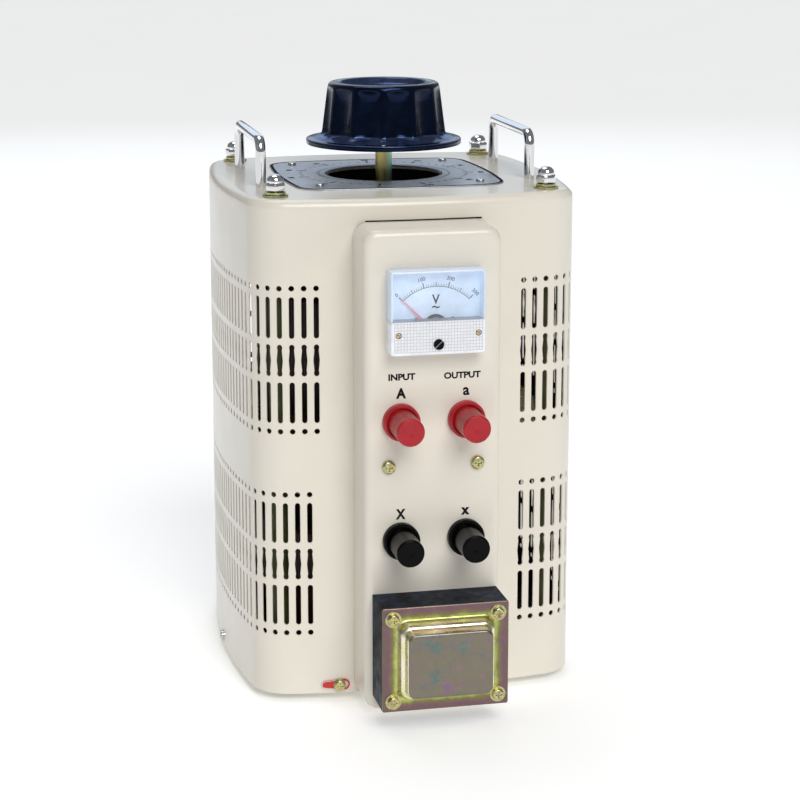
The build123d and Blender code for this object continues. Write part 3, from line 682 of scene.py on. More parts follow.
def bell_flange_zinc():
    """The choke cover's rim: mauve outside, yellow and green beside the drawn step."""
    material, new = surface("bell_flange_zinc", (0.25, 0.17, 0.18), 0.36, 1.0)
    if new:
        s = sizes()
        where = stretched_coordinates(material, shift=(-s.choke_x / 1000, 0, -s.choke_z / 1000))
        split = add_node(material, "ShaderNodeSeparateXYZ")
        link(material, where, split.inputs["Vector"])
        step_half_width, step_half_height = 0.0334, 0.0270
        reach = []
        for axis, half in (("X", step_half_width), ("Z", step_half_height)):
            away = add_node(material, "ShaderNodeMath", operation="ABSOLUTE")
            link(material, split.outputs[axis], away.inputs[0])
            beyond = add_node(material, "ShaderNodeMath", operation="SUBTRACT")
            link(material, away.outputs["Value"], beyond.inputs[0])
            beyond.inputs[1].default_value = half
            reach.append(beyond.outputs["Value"])
        furthest = add_node(material, "ShaderNodeMath", operation="MAXIMUM")
        link(material, reach[0], furthest.inputs[0])
        link(material, reach[1], furthest.inputs[1])
        wobble = add_node(material, "ShaderNodeMath", operation="MULTIPLY_ADD")
        link(material, noise(material, 160, 5), wobble.inputs[0])
        wobble.inputs[1].default_value = 0.006
        link(material, furthest.outputs["Value"], wobble.inputs[2])
        band = add_node(material, "ShaderNodeMapRange")
        band.inputs["From Min"].default_value = 0.002
        band.inputs["From Max"].default_value = 0.012
        link(material, wobble.outputs["Value"], band.inputs["Value"])
        vary_colour(
            material,
            band.outputs["Result"],
            [
                (0.0, (0.66, 0.64, 0.28)),
                (0.16, (0.46, 0.50, 0.14)),
                (0.36, (0.22, 0.23, 0.09)),
                (0.50, (0.23, 0.16, 0.11)),
                (0.70, (0.21, 0.12, 0.155)),
                (1.0, (0.19, 0.14, 0.11)),
            ],
        )
        vary_roughness(material, noise(material, 260, 5), 0.26, 0.46)
        scratches = noise(material, 300, 3, (1, 1, 9))
        dents = noise(material, 140, 4)
        raise_surface(material, (scratches, 0.10, 0.0003), (dents, 0.14, 0.0006))
    return material


def grid_apron():
    """White moulding with a fine raised grid."""
    material, new = surface("grid_apron", (0.80, 0.80, 0.83), 0.30)
    if new:
        node = add_node(material, "ShaderNodeTexBrick", offset=0.0, squash=1.0)
        node.inputs["Color1"].default_value = (0.86, 0.87, 0.90, 1)
        node.inputs["Color2"].default_value = (0.80, 0.81, 0.85, 1)
        node.inputs["Mortar"].default_value = (0.55, 0.56, 0.62, 1)
        node.inputs["Scale"].default_value = 1.0
        node.inputs["Mortar Size"].default_value = 0.00022
        node.inputs["Mortar Smooth"].default_value = 0.6
        node.inputs["Brick Width"].default_value = 0.0021
        node.inputs["Row Height"].default_value = 0.0021
        where = add_node(material, "ShaderNodeTexCoord")
        turned = add_node(material, "ShaderNodeMapping")
        turned.inputs["Rotation"].default_value = (radians(-90), 0, 0)
        link(material, where.outputs["Object"], turned.inputs["Vector"])
        link(material, turned.outputs["Vector"], node.inputs["Vector"])
        link(material, node.outputs["Color"], shader_of(material).inputs["Base Color"])
        raise_surface(material, (node.outputs["Fac"], 0.5, 0.0003))
    return material


def clear_acrylic():
    """The meter's clear pane."""
    material, new = surface("clear_acrylic", (0.90, 0.95, 1.0), 0.05, Alpha=0.13, IOR=1.49)
    if new:
        vary_roughness(material, noise(material, 120, 3), 0.03, 0.09)
        raise_surface(material, (noise(material, 80, 3), 0.03, 0.0005))
    return material


def milky_acrylic():
    """The edge of the meter's pane, which gathers light."""
    material, new = surface("milky_acrylic", (0.95, 0.96, 1.0), 0.14, Alpha=0.5, IOR=1.49)
    if new:
        vary_roughness(material, noise(material, 120, 3), 0.08, 0.2)
        raise_surface(material, (noise(material, 160, 3), 0.05, 0.0005))
    return material


def shaft_zinc():
    """The shaft's top, with bands of colour from left to right: the passivate's tints, placed as painted
    reflections across the round shaft.
    """
    material, new = surface("shaft_zinc", (0.7, 0.6, 0.25), 0.30, 1.0)
    if new:
        split = add_node(material, "ShaderNodeSeparateXYZ")
        link(material, stretched_coordinates(material), split.inputs["Vector"])
        wander = add_node(material, "ShaderNodeMath", operation="MULTIPLY_ADD")
        link(material, noise(material, 90, 4, (1, 1, 0.25)), wander.inputs[0])
        wander.inputs[1].default_value = 0.006
        link(material, split.outputs["X"], wander.inputs[2])
        across = add_node(material, "ShaderNodeMapRange")
        across.inputs["From Min"].default_value = -0.003
        across.inputs["From Max"].default_value = 0.009
        link(material, wander.outputs["Value"], across.inputs["Value"])
        # bright and dark bands across x: painted reflections in the passivate's tints
        vary_colour(
            material,
            across.outputs["Result"],
            [
                (0.05, (0.52, 0.42, 0.15)),
                (0.25, (0.95, 0.88, 0.33)),
                (0.45, (0.45, 0.30, 0.14)),
                (0.60, (0.55, 0.78, 0.47)),
                (0.80, (0.40, 0.86, 0.70)),
                (0.95, (0.75, 0.88, 0.60)),
            ],
        )
        raise_surface(material, (noise(material, 500, 3, (1, 1, 8)), 0.10, 0.0003))
    return material


# ---- the pieces ----

# marks on the wall's faces
OUTER_FACE = 1
INNER_FACE = 2

# how far printing stands off its surface
INK_PROUD = 0.06

# where the knob's pointer is at rest, in degrees from the right, seen from above
POINTER_ANGLE = -102


class BuildStep(bpy.types.Operator):
    bl_options = {"REGISTER"}


def vent_outlines():
    """The three vent shapes as (x, height) outlines, drawn anticlockwise."""
    dot = arc_points(1.9, 0, 330, 11)
    top = arc_points(1.75, 0, 180, 6, (0, 12.45))
    slot = top + [(-x, -y) for x, y in top]
    right = [(2.15, 0.0), (1.45, 7.2), (1.75, 8.2), (1.80, 9.3), (1.40, 10.3), (0.75, 10.8)]
    upper = right + [(0.0, 10.95)] + [(-x, y) for x, y in reversed(right)]
    spindle = upper + [(-x, -y) for x, y in upper[1:-1]]
    return dot, slot, spindle


def closed_edges(bm, verts):
    return [bm.edges.new(pair) for pair in zip(verts, verts[1:] + verts[:1])]


def vent_ring(bm, outline, place, sheet):
    """The rounded rim and the wall of one opening. Returns its edges on the outer and the inner face."""
    rim_round = 0.22
    loops = []
    for grow, depth in ((rim_round, 0.0), (0.0, -0.25), (0.0, -sheet)):
        verts = []
        for x, y in outline:
            away = Vector((x, y)).normalized() * grow
            if abs(y) > 5 and abs(x) > 1.3:
                away = Vector((copysign(grow, x), 0))
            verts.append(bm.verts.new(place @ Vector((x + away.x, y + away.y, depth))))
        loops.append(closed_edges(bm, verts))
    for one, other in zip(loops, loops[1:]):
        bmesh.ops.bridge_loops(bm, edges=one + other)
    return loops[0], loops[-1]


def wall_half(s, side):
    """One half of the wall, drawn flat from the front's middle to the back's, then wrapped round."""
    shape = (s.case_half, s.bow_radius, s.corner_radius)
    around = plan_lengths(*shape)[1]
    half = around / 2
    bm = bmesh.new()
    dot, slot, spindle = vent_outlines()
    column = ((dot, -49.2), (slot, -29.2), (spindle, 0.0), (slot, 29.2), (dot, 49.2))
    upper_first, lower_first = (73.0, 72.6) if side > 0 else (71.2, 76.7)
    outer, inner = [], []
    for first, middle in ((upper_first, s.upper_band), (lower_first, s.lower_band)):
        last_free = half - first
        for k in range(int((last_free - first) / s.vent_pitch) + 1):
            x = first + k * s.vent_pitch
            for outline, shift in column:
                place = Matrix.Translation((x, middle + shift, 0))
                front, back = vent_ring(bm, outline, place, s.sheet)
                outer += front
                inner += back
    outline = ((0, s.case_bottom), (half, s.case_bottom), (half, s.seam), (0, s.seam))
    for edges, depth in ((outer, 0.0), (inner, -s.sheet)):
        edges += closed_edges(bm, [bm.verts.new((x, z, depth)) for x, z in outline])
    flat = bm.faces.layers.int.new("flat")
    for edges, mark, way in ((outer, OUTER_FACE, 1), (inner, INNER_FACE, -1)):
        made = bmesh.ops.triangle_fill(
            bm, edges=edges, use_beauty=False, use_dissolve=False, normal=(0, 0, way)
        )
        for f in only(made["geom"], bmesh.types.BMFace):
            f[flat] = mark
    for cut in sorted(d for d in stations(*shape, 12, 2.2) if 0 < d < half - 0.1):
        cut_across(bm, cut)
    rims = [e for e in bm.edges if len(e.link_faces) == 1]
    for height in (s.case_bottom, s.seam):
        edges = [e for e in rims if all(abs(v.co.y - height) < 1e-3 for v in e.verts)]
        front = [e for e in edges if all(abs(v.co.z) < 1e-3 for v in e.verts)]
        back = [e for e in edges if e not in front]
        bmesh.ops.bridge_loops(bm, edges=front + back)
    for v in bm.verts:
        distance = v.co.x if side > 0 else around - v.co.x
        x, y, nx, ny = plan_point(min(distance, around - 1e-6), *shape)
        depth = v.co.z
        v.co = (x + nx * depth, y + ny * depth, v.co.y)
    return bm


class REGULATOR_OT_wall(BuildStep):
    """Wraps the slotted enamel wall round the coils"""

    bl_idname = "regulator.wall"
    bl_label = "Slotted wall"

    def execute(self, context):
        s = sizes()
        for side, name in ((1, "wall_right"), (-1, "wall_left")):
            bm = wall_half(s, side)
            flat = bm.faces.layers.int["flat"]
            bmesh.ops.remove_doubles(bm, verts=bm.verts, dist=0.002)
            bmesh.ops.recalc_face_normals(bm, faces=bm.faces)
            marks = [f[flat] for f in bm.faces]
            # inner faces take the dark inside finish: painted shade for the shadowed inside of the wall
            for f in bm.faces:
                f.material_index = 1 if f[flat] == INNER_FACE else 0
            finishes = [enamel(), painted_shade_inside()]
            piece = make_piece(name, bm, "frame", finishes, ["casing"], outward=False)
            mesh = piece.data
            normals = [(0.0, 0.0, 0.0)] * len(mesh.loops)
            for polygon, mark in zip(mesh.polygons, marks):
                if not mark:
                    continue
                for k in polygon.loop_indices:
                    x, y = mesh.vertices[mesh.loops[k].vertex_index].co.xy * 1000
                    way = self.way_out(x, y, s) * (1 if mark == OUTER_FACE else -1)
                    normals[k] = tuple(way)
            mesh.normals_split_custom_set(normals)
        return {"FINISHED"}

    @staticmethod
    def way_out(x, y, s):
        """The way out of the wall at a point on it."""
        reach, corner_middle, limit = bowed_square(s.case_half, s.bow_radius, s.corner_radius)
        right, ahead = abs(x) - corner_middle, abs(y) - corner_middle
        if right > 0 and ahead > 0 and abs(right - ahead) < 0.5 * (right + ahead) + 30:
            corner = Vector((right, ahead, 0)).normalized()
            angle = atan2(corner.x, corner.y)
            if limit <= angle <= pi / 2 - limit:
                return Vector((copysign(corner.x, x), copysign(corner.y, y), 0))
        if abs(y) >= abs(x):
            return Vector((x, y + copysign(reach, y), 0)).normalized()
        return Vector((x + copysign(reach, x), y, 0)).normalized()


class REGULATOR_OT_cover(BuildStep):
    """Makes the pressed cover with its rolled edge"""

    bl_idname = "regulator.cover"
    bl_label = "Top cover"

    def execute(self, context):
        s = sizes()
        shape = (s.case_half, s.bow_radius, s.corner_radius)
        places = stations(*shape, 12, 2.2)
        bm = bmesh.new()
        loops = [bowed_loop(bm, places, *shape, 0.0, s.seam)]
        loops.append(bowed_loop(bm, places, *shape, 0.0, s.seam + 0.15))
        edge_radius = 6
        for k in range(9):
            t = k * pi / 16
            height = s.top - edge_radius + edge_radius * sin(t)
            loops.append(bowed_loop(bm, places, *shape, edge_radius * (1 - cos(t)), height))
        for inset in (7.5, 14, 20):
            loops.append(bowed_loop(bm, places, *shape, inset, s.top))
        hole = s.dial_hole + 0.5
        for radius, drop in ((hole + 24, 0), (hole + 0.6, 0), (hole, 0.4), (hole, 1.5)):
            loops.append(hole_loop(bm, places, shape, radius, s.top - drop))
        loops.append(bowed_loop(bm, places, *shape, 5.0, s.top - 1.5))
        loops.append(bowed_loop(bm, places, *shape, 1.6, s.seam + 1))
        loops.append(bowed_loop(bm, places, *shape, 1.4, s.seam))
        join_loops(bm, loops, closed=True)
        bmesh.ops.recalc_face_normals(bm, faces=bm.faces)
        bm.normal_update()
        # the cover's underside and the inward faces below its top take the dark inside finish: painted shade
        for f in bm.faces:
            middle = f.calc_center_median()
            inward = f.normal.x * middle.x + f.normal.y * middle.y < 0 and middle.length > 60
            f.material_index = 1 if f.normal.z < -0.3 or (inward and middle.z < s.top - 1.6) else 0
        finishes = [enamel(), painted_shade_inside()]
        make_piece("top_cover_pressing", bm, "frame", finishes, ["top_cover"], sharp=50)
        return {"FINISHED"}


class REGULATOR_OT_housing(BuildStep):
    """Makes the folded front housing and its lettering"""

    bl_idname = "regulator.housing"
    bl_label = "Front housing"

    def execute(self, context):
        s = sizes()
        middle = (s.housing_top + s.case_bottom) / 2
        tall = s.housing_top - s.case_bottom
        wide = 2 * s.housing_half
        back = s.case_half - 2.2
        corner = 10
        edge_radius = 5.5
        bm = bmesh.new()
        loops = [corner_loop(bm, wide, tall, corner, depth, 8) for depth in (back, back + 2)]
        for k in range(8):
            t = k * pi / 14
            inset = edge_radius * (1 - cos(t))
            depth = s.housing_front - edge_radius + edge_radius * sin(t)
            loops.append(corner_loop(bm, wide - 2 * inset, tall - 2 * inset, corner - inset * 0.9, depth, 8))
        loops.append(corner_loop(bm, wide - 13, tall - 13, 4.4, s.housing_front, 8))
        join_loops(bm, loops)
        cap_loop(bm, loops[-1])
        for x in range(-40, 41, 8):
            cut_across(bm, x)
        # the back edge follows the bowed wall, and its top stays just clear of it
        reach = s.bow_radius - s.case_half
        for v in bm.verts:
            if abs(v.co.z - back) < 0.01:
                gap = 1.5 if v.co.y > tall / 2 - 3 else 0.0
                v.co.z = sqrt(s.bow_radius**2 - v.co.x**2) - reach + gap
        bmesh.ops.transform(bm, matrix=on_front(0, middle, 0), verts=bm.verts)
        bmesh.ops.recalc_face_normals(bm, faces=bm.faces)
        # a dark strip along the housing's top back edge: painted shadow in the gap between the housing's top
        # and the wall
        low, high = s.housing_top - 0.3, s.housing_top + 0.75
        edge = [(x, reach - sqrt(s.bow_radius**2 - x * x) - 0.1) for x in range(-38, 43, 4)]
        for (x0, y0), (x1, y1) in zip(edge, edge[1:]):
            corners = ((x0, y0, low), (x1, y1, low), (x1, y1, high), (x0, y0, high))
            bm.faces.new([bm.verts.new(c) for c in corners]).material_index = 1
        finishes = [enamel(), painted_shade_inside()]
        make_piece(
            "front_housing", bm, "frame", finishes, ["panel_housing"], sharp=50, outward=False
        )

        words = bmesh.new()
        proud = s.housing_front + INK_PROUD
        for text, x, z, height, weight, squeeze in (
            ("INPUT", -21.4, 236.7, 4.6, 0.042, 1.08),
            ("OUTPUT", 19.7, 236.2, 4.6, 0.042, 1.08),
            ("A", -21.9, 225.7, 7.2, 0.046, 0.92),
            ("a", 22.4, 225.0, 5.6, 0.03, 0.95),
            ("X", -22.2, 142.8, 7.2, 0.046, 0.82),
            ("x", 22.2, 142.3, 5.2, 0.055, 0.88),
        ):
            add_words(words, text, height, on_front(x, z, -proud), weight, squeeze)
        make_piece("panel_lettering", words, "frame", [ink()], outward=False)
        return {"FINISHED"}


class REGULATOR_OT_handles(BuildStep):
    """Bends the two plated carrying handles"""

    bl_idname = "regulator.handles"
    bl_label = "Handles"

    def execute(self, context):
        s = sizes()
        front, back, bend = -44, 56, 8
        bend_height = s.top + 24
        rise = 30.8
        bm = bmesh.new()
        for x in (-96, 96):
            foot = Matrix.Translation((x, front, bend_height - rise))
            loop = bmesh.ops.create_circle(bm, cap_ends=False, radius=3.6, segments=24, matrix=foot)["verts"]
            edges = ring_edges(loop)
            for move, bend_y in (
                ((0, 0, rise), None),
                (None, front + bend),
                ((0, back - front - 2 * bend, 0), None),
                (None, back - bend),
                ((0, 0, -rise), None),
            ):
                if move:
                    grown = bmesh.ops.extrude_edge_only(bm, edges=edges)["geom"]
                    bmesh.ops.translate(bm, vec=move, verts=only(grown, bmesh.types.BMVert))
                else:
                    middle = (x, bend_y, bend_height)
                    grown = bmesh.ops.spin(
                        bm, geom=edges, cent=middle, axis=(-1, 0, 0), angle=pi / 2, steps=10
                    )["geom_last"]
                edges = only(grown, bmesh.types.BMEdge)
        make_piece("handles", bm, "frame", [chrome()], ["carry_handles"], sharp=60)
        return {"FINISHED"}


class REGULATOR_OT_nuts(BuildStep):
    """Makes the domed nuts and the washers under them"""

    bl_idname = "regulator.nuts"
    bl_label = "Domed nuts and washers"

    def execute(self, context):
        s = sizes()
        spread = (-s.rod_spread, s.rod_spread)
        hexagon = [
            (0, 0), (6.0, 0), (6.9, 0.6), (7.25, 1.2), (7.25, 5.0), (6.6, 5.8), (5.9, 6.2), (0, 6.2),
        ]
        neck = [(5.6, 5.6), (5.75, 6.6)]
        cap = [(5.8 * cos(k * pi / 20), 6.8 + 5.0 * sin(k * pi / 20)) for k in range(11)]
        flat_ring = [
            (4.3, 0.1), (8.3, 0.0), (8.6, 0.3), (8.6, 1.2), (8.3, 1.5), (4.5, 1.5), (4.3, 1.3), (4.3, 0.1),
        ]
        split_ring = [(4.2, 0), (6.7, 0), (6.9, 0.2), (6.9, 1.6), (6.7, 1.8), (4.2, 1.8), (4.2, 0)]
        nut_bottom, spring_bottom = s.top + 3.5, s.top + 1.6
        nuts, flats, springs = bmesh.new(), bmesh.new(), bmesh.new()
        for k, (x, y) in enumerate([(x, y) for x in spread for y in spread]):
            turn = 0.35 + 0.4 * k
            nut = bmesh.new()
            spin_profile(nut, hexagon, 6)
            bmesh.ops.remove_doubles(nut, verts=nut.verts, dist=0.002)
            bmesh.ops.bevel(
                nut, geom=nut.edges[:], offset=0.25, segments=2, profile=0.5, affect="EDGES", material=-1
            )
            add_shape(nuts, nut, [upright(x, y, nut_bottom, turn)])
            dome = bmesh.new()
            spin_profile(dome, neck + cap, 40)
            add_shape(nuts, dome, [upright(x, y, nut_bottom)])
            washer = bmesh.new()
            spin_profile(washer, flat_ring, 56)
            add_shape(flats, washer, [upright(x, y, s.top)])
            coil = bmesh.new()
            spin_profile(coil, split_ring, 48, radians(350))
            add_shape(springs, coil, [upright(x, y, spring_bottom, turn)])
        washer_zinc = passivated("washer_zinc", 90, True)
        lock_zinc = passivated("lock_zinc", 140, True, 0.2)
        make_piece("domed_nuts", nuts, "frame", [chrome()], ["acorn_nuts"], sharp=40)
        make_piece("washers", flats, "frame", [washer_zinc], ["flat_washers"])
        make_piece("lock_washers", springs, "frame", [lock_zinc], ["spring_washers"])
        return {"FINISHED"}


class REGULATOR_OT_dial(BuildStep):
    """Makes the dial plate and its printed scale"""

    bl_idname = "regulator.dial"
    bl_label = "Dial plate"

    def execute(self, context):
        s = sizes()
        shape = (s.dial_half, 520.9, 20.0)
        places = stations(*shape, 12, 2.0)
        plate = 0.8
        bm = bmesh.new()
        loops = []
        for inset, height in ((0.0, 0.0), (0.0, 0.65), (0.15, plate), (3.0, plate)):
            loops.append(bowed_loop(bm, places, *shape, inset, s.top + height))
        for wider, height in ((10, plate), (0.15, plate), (0, 0.65), (0, 0.0)):
            loops.append(hole_loop(bm, places, shape, s.dial_hole + wider, s.top + height))
        join_loops(bm, loops, closed=True)
        make_piece("dial_face", bm, "frame", [anodised()], ["dial_plate"], sharp=50)

        marks = bmesh.new()
        face = s.top + plate + INK_PROUD
        border = [bowed_loop(marks, places, *shape, inset, face) for inset in (0.3, 2.6)]
        join_loops(marks, border)
        for inner_radius, width in ((s.dial_hole + 0.3, 0.9), (46.6, 0.25)):
            rings = [circle_loop(marks, inner_radius + grow, face, 120) for grow in (0, width)]
            join_loops(marks, rings)
        start, end = 14.5, 345.5
        for k in range(0, 101, 2):
            place = upright(0, 0, face, radians(-90 - start - (end - start) * k / 100))
            near, far, thick = (58.5, 60.8, 1.2) if k % 10 else (57.0, 64.5, 1.5)
            flat_bar(marks, place, near, far, thick)
        for k in range(126):
            place = upright(0, 0, face, radians(-90 - start - (end - start) * k / 125))
            flat_bar(marks, place, 46.7, 48.2 if k % 5 else 49.2, 0.28)
        for k in range(11):
            swing = start + (end - start) * k / 10
            place = upright(0, 0, face, radians(-swing)) @ Matrix.Translation((0, -70.0, 0))
            add_words(marks, str(k * 10), 4.4, place, 0.045)
        face_towards(marks, Vector((0, 0, 1)))
        make_piece("dial_marks", marks, "frame", [ink()], outward=False)
        dress(bright_steel(), "dial_screws")
        return {"FINISHED"}


class REGULATOR_OT_knob(BuildStep):
    """Moulds the fluted knob"""

    bl_idname = "regulator.knob"
    bl_label = "Knob"

    def execute(self, context):
        s = sizes()
        bm = bmesh.new()
        count = 360
        rim = s.knob_top - s.knob_bottom
        # radius, height and how deep the flutes are there
        profile = [
            (49.5, 1.4, 0), (52.5, 0.15, 0), (55.0, 0.0, 0), (55.5, 0.5, 0), (55.5, 3.2, 0),
            (55.2, 3.7, 0), (54.6, 3.9, 0), (50.6, 4.15, 0), (49.8, 4.4, 0), (47.6, 5.3, 0.0),
            (45.8, 6.3, 0.35), (44.7, 7.3, 0.9), (44.15, 8.4, 1), (43.8, 11, 1), (42.9, 18, 0.93),
            (42.0, 25, 0.85), (41.1, 32, 0.75), (40.5, 36.5, 0.66), (40.25, 38.3, 0.5),
            (40.1, 39.4, 0.3), (39.95, 40.3, 0.12), (39.7, 41.2, 0.03), (39.2, rim - 1.4, 0),
            (38.2, rim - 0.5, 0), (37.0, rim - 0.05, 0), (36.0, rim, 0), (32.4, rim, 0),
            (31.4, rim - 0.3, 0), (30.6, rim - 1.2, 0), (29.4, rim - 3.6, 0), (28.4, rim - 4.5, 0),
            (26.5, rim - 4.9, 0), (12.0, rim - 5.2, 0), (4.0, rim - 5.3, 0),
        ]
        flute_step, flute_half_width, flute_depth = 30, 12.8, 4.1
        loops = []
        for radius, height, flute in profile:
            verts = circle_loop(bm, radius, s.knob_bottom + height, count)
            for v in verts:
                swing = (degrees(atan2(v.co.y, v.co.x)) - POINTER_ANGLE) % flute_step
                off = min(swing, flute_step - swing)
                hollow = max(0.0, 1 - ((flute_step / 2 - off) / flute_half_width) ** 2)
                depth = flute_depth * flute * hollow
                v.co.x *= (radius - depth) / radius
                v.co.y *= (radius - depth) / radius
            loops.append(verts)
        join_loops(bm, loops)
        cap_loop(bm, loops[-1])
        underside = circle_loop(bm, 11, s.knob_bottom + 1.4, count)
        bore = circle_loop(bm, 6.1, s.knob_bottom + 0.4, count)
        deep = circle_loop(bm, 6.1, s.knob_top - 20, count)
        join_loops(bm, [loops[0], underside, bore, deep])
        cap_loop(bm, deep)
        bmesh.ops.recalc_face_normals(bm, faces=bm.faces)
        bm.normal_update()
        # upward faces of the skirt, and the dish, take the lighter bluer finish: painted sheen
        for f in bm.faces:
            middle = f.calc_center_median()
            on_skirt = middle.z < s.knob_bottom + 8 and 0.3 < f.normal.z < 0.995
            in_dish = middle.z > s.knob_top - 6 and middle.xy.length < 31
            f.material_index = 1 if on_skirt or in_dish else 0
        finishes = [phenolic(), phenolic_painted_sheen()]
        make_piece("knob_moulding", bm, "rotor", finishes, ["knob"], sharp=55)

        mark = bmesh.new()
        place = upright(0, 0, s.knob_bottom, radians(POINTER_ANGLE))
        corners = [(54.4, 0.0, 3.98), (50.7, 1.5, 4.2), (50.7, -1.5, 4.2)]
        mark.faces.new([mark.verts.new(place @ Vector(c)) for c in corners])
        face_towards(mark, Vector((0, 0, 1)))
        paint = ink("pointer_paint", (0.75, 0.75, 0.72))
        make_piece("knob_pointer", mark, "rotor", [paint], outward=False)
        dress(shaft_zinc(), "shaft")
        dress(bright_steel(), "knob_screw", "lower_brush_spring", "upper_brush_spring", "handle_nuts")
        return {"FINISHED"}


class REGULATOR_OT_meter(BuildStep):
    """Makes the panel meter's window, apron, scale and needle"""

    bl_idname = "regulator.meter"
    bl_label = "Panel meter"

    def execute(self, context):
        s = sizes()
        place = SimpleNamespace(
            width=64.0,
            top=s.meter_height + 28,
            split=276.4,
            bottom=s.meter_height - 28,
            back=s.housing_front,
            front=s.housing_front + 15,
            print=s.housing_front + 3.68,
        )
        self.add_window(place)
        self.add_apron(place)
        self.add_card(s, place)
        self.add_marks(s, place)
        self.add_movement(place)
        self.add_needle(s, place)
        self.add_screws(place)
        dress(black_plastic(), "meter_adjuster", "meter_case")
        return {"FINISHED"}

    @staticmethod
    def rounded_box(bm, place, high, corner, steps, side):
        """Loops from the panel to a rounded front, with its square edge up (1) or down (-1)."""
        loops = []
        edges = ((0, place.back), (0, place.front - 1.4), (0.45, place.front - 0.45), (1.3, place.front))
        for inset, depth in edges:
            loop = corner_loop(bm, place.width - 2 * inset, high - inset, corner - inset * 0.6, depth, steps)
            bmesh.ops.translate(bm, vec=(0, side * inset / 2, 0), verts=loop)
            loops.append(loop)
        return loops

    def add_window(self, place):
        bm = bmesh.new()
        high = place.top - place.split
        loops = self.rounded_box(bm, place, high, 1.8, 4, -1)
        pane = corner_loop(bm, place.width - 2.8, high - 1.4, 1.0, place.front, 4)
        bmesh.ops.translate(bm, vec=(0, -0.7, 0), verts=pane)
        join_loops(bm, loops + [pane])
        for f in bm.faces:
            f.material_index = 1
        for f in cap_loop(bm, pane):
            f.material_index = 0
        centre = on_front(0, (place.top + place.split) / 2, 0)
        bmesh.ops.transform(bm, matrix=centre, verts=bm.verts)
        finishes = [clear_acrylic(), milky_acrylic()]
        make_piece("meter_window", bm, "frame", finishes, ["meter_cover"])

    def add_apron(self, place):
        bm = bmesh.new()
        high = place.split - place.bottom
        loops = self.rounded_box(bm, place, high, 2.2, 5, 1)
        inset = 2.2
        face = corner_loop(bm, place.width - 2 * inset, high - inset, 2.2 - inset * 0.6, place.front, 5)
        bmesh.ops.translate(bm, vec=(0, inset / 2, 0), verts=face)
        join_loops(bm, loops + [face])
        for f in bm.faces:
            f.material_index = 1
        for f in cap_loop(bm, face):
            f.material_index = 0
        centre = on_front(0, (place.split + place.bottom) / 2, 0)
        bmesh.ops.transform(bm, matrix=centre, verts=bm.verts)
        finishes = [grid_apron(), moulding("white_rim", (0.86, 0.88, 0.93), 0.22)]
        make_piece("meter_apron_moulding", bm, "frame", finishes, ["meter_apron"])

    def add_card(self, s, place):
        """The printed card and the pale walls round it, both given a faint painted glow that stands in for
        light through the window.
        """
        card = moulding("meter_card", tuple(colours().card), 0.5)
        # painted glow: a faint blue emission on the card and liner
        shader_of(card).inputs["Emission Color"].default_value = (0.66, 0.80, 0.98, 1)
        shader_of(card).inputs["Emission Strength"].default_value = 0.18
        backing = bmesh.new()
        prism(backing, [(-30.9, -26.9), (30.9, -26.9), (30.9, 26.9), (-30.9, 26.9)], 2.9, 3.6)
        bmesh.ops.transform(backing, matrix=on_front(0, s.meter_height, -place.back), verts=backing.verts)
        make_piece("meter_card", backing, "frame", [card], ["meter_dial"])

        liner = bmesh.new()
        loops = [
            corner_loop(liner, 62.4, 54.4, 1.2, place.back + 0.2, 4),
            corner_loop(liner, 62.4, 54.4, 1.2, place.back + 13.0, 4),
            corner_loop(liner, 61.4, 53.4, 0.8, place.back + 13.0, 4),
            corner_loop(liner, 60.8, 52.8, 0.8, place.back + 3.6, 4),
        ]
        join_loops(liner, loops)
        bmesh.ops.transform(liner, matrix=on_front(0, s.meter_height, 0), verts=liner.verts)
        # the liner shares the card's painted glow
        make_piece("meter_liner", liner, "frame", [card])

    def add_marks(self, s, place):
        bm = bmesh.new()
        pivot = on_front(0.8, s.meter_pivot - 1.2, -place.print)
        radius, half_line = 31.5, 0.17
        first, last = 135, 45
        outside = arc_points(radius + half_line, last, first, 40)
        inside = arc_points(radius - half_line, last, first, 40)
        arc = outside + inside[::-1]
        bm.faces.new([bm.verts.new(pivot @ Vector((x, y, 0))) for x, y in arc])
        for k in range(31):
            if k % 10 == 0:
                far, thick = 35.2, 0.55
            elif k % 5 == 0:
                far, thick = 34.2, 0.42
            else:
                far, thick = 33.4, 0.26
            turn = Matrix.Rotation(radians(first - (first - last) * k / 30), 4, "Z")
            flat_bar(bm, pivot @ turn, radius, far, thick)
        for k in range(4):
            angle = radians(first - (first - last) * k / 3)
            spot = Matrix.Translation((37.6 * cos(angle), 37.6 * sin(angle), 0))
            spot = pivot @ spot @ Matrix.Rotation(angle - pi / 2, 4, "Z")
            add_words(bm, str(k * 100), 2.6, spot, 0.004)
        add_words(bm, "V", 6.4, on_front(0.6, 288.8, -place.print), 0.02, 0.9)
        add_words(bm, "~", 1.9, on_front(0.6, 283.6, -place.print), 0.008, 0.85)
        face_towards(bm, Vector((0, -1, 0)))
        paint = ink("meter_ink", (0.02, 0.022, 0.04))
        make_piece("meter_marks", bm, "frame", [paint], outward=False)

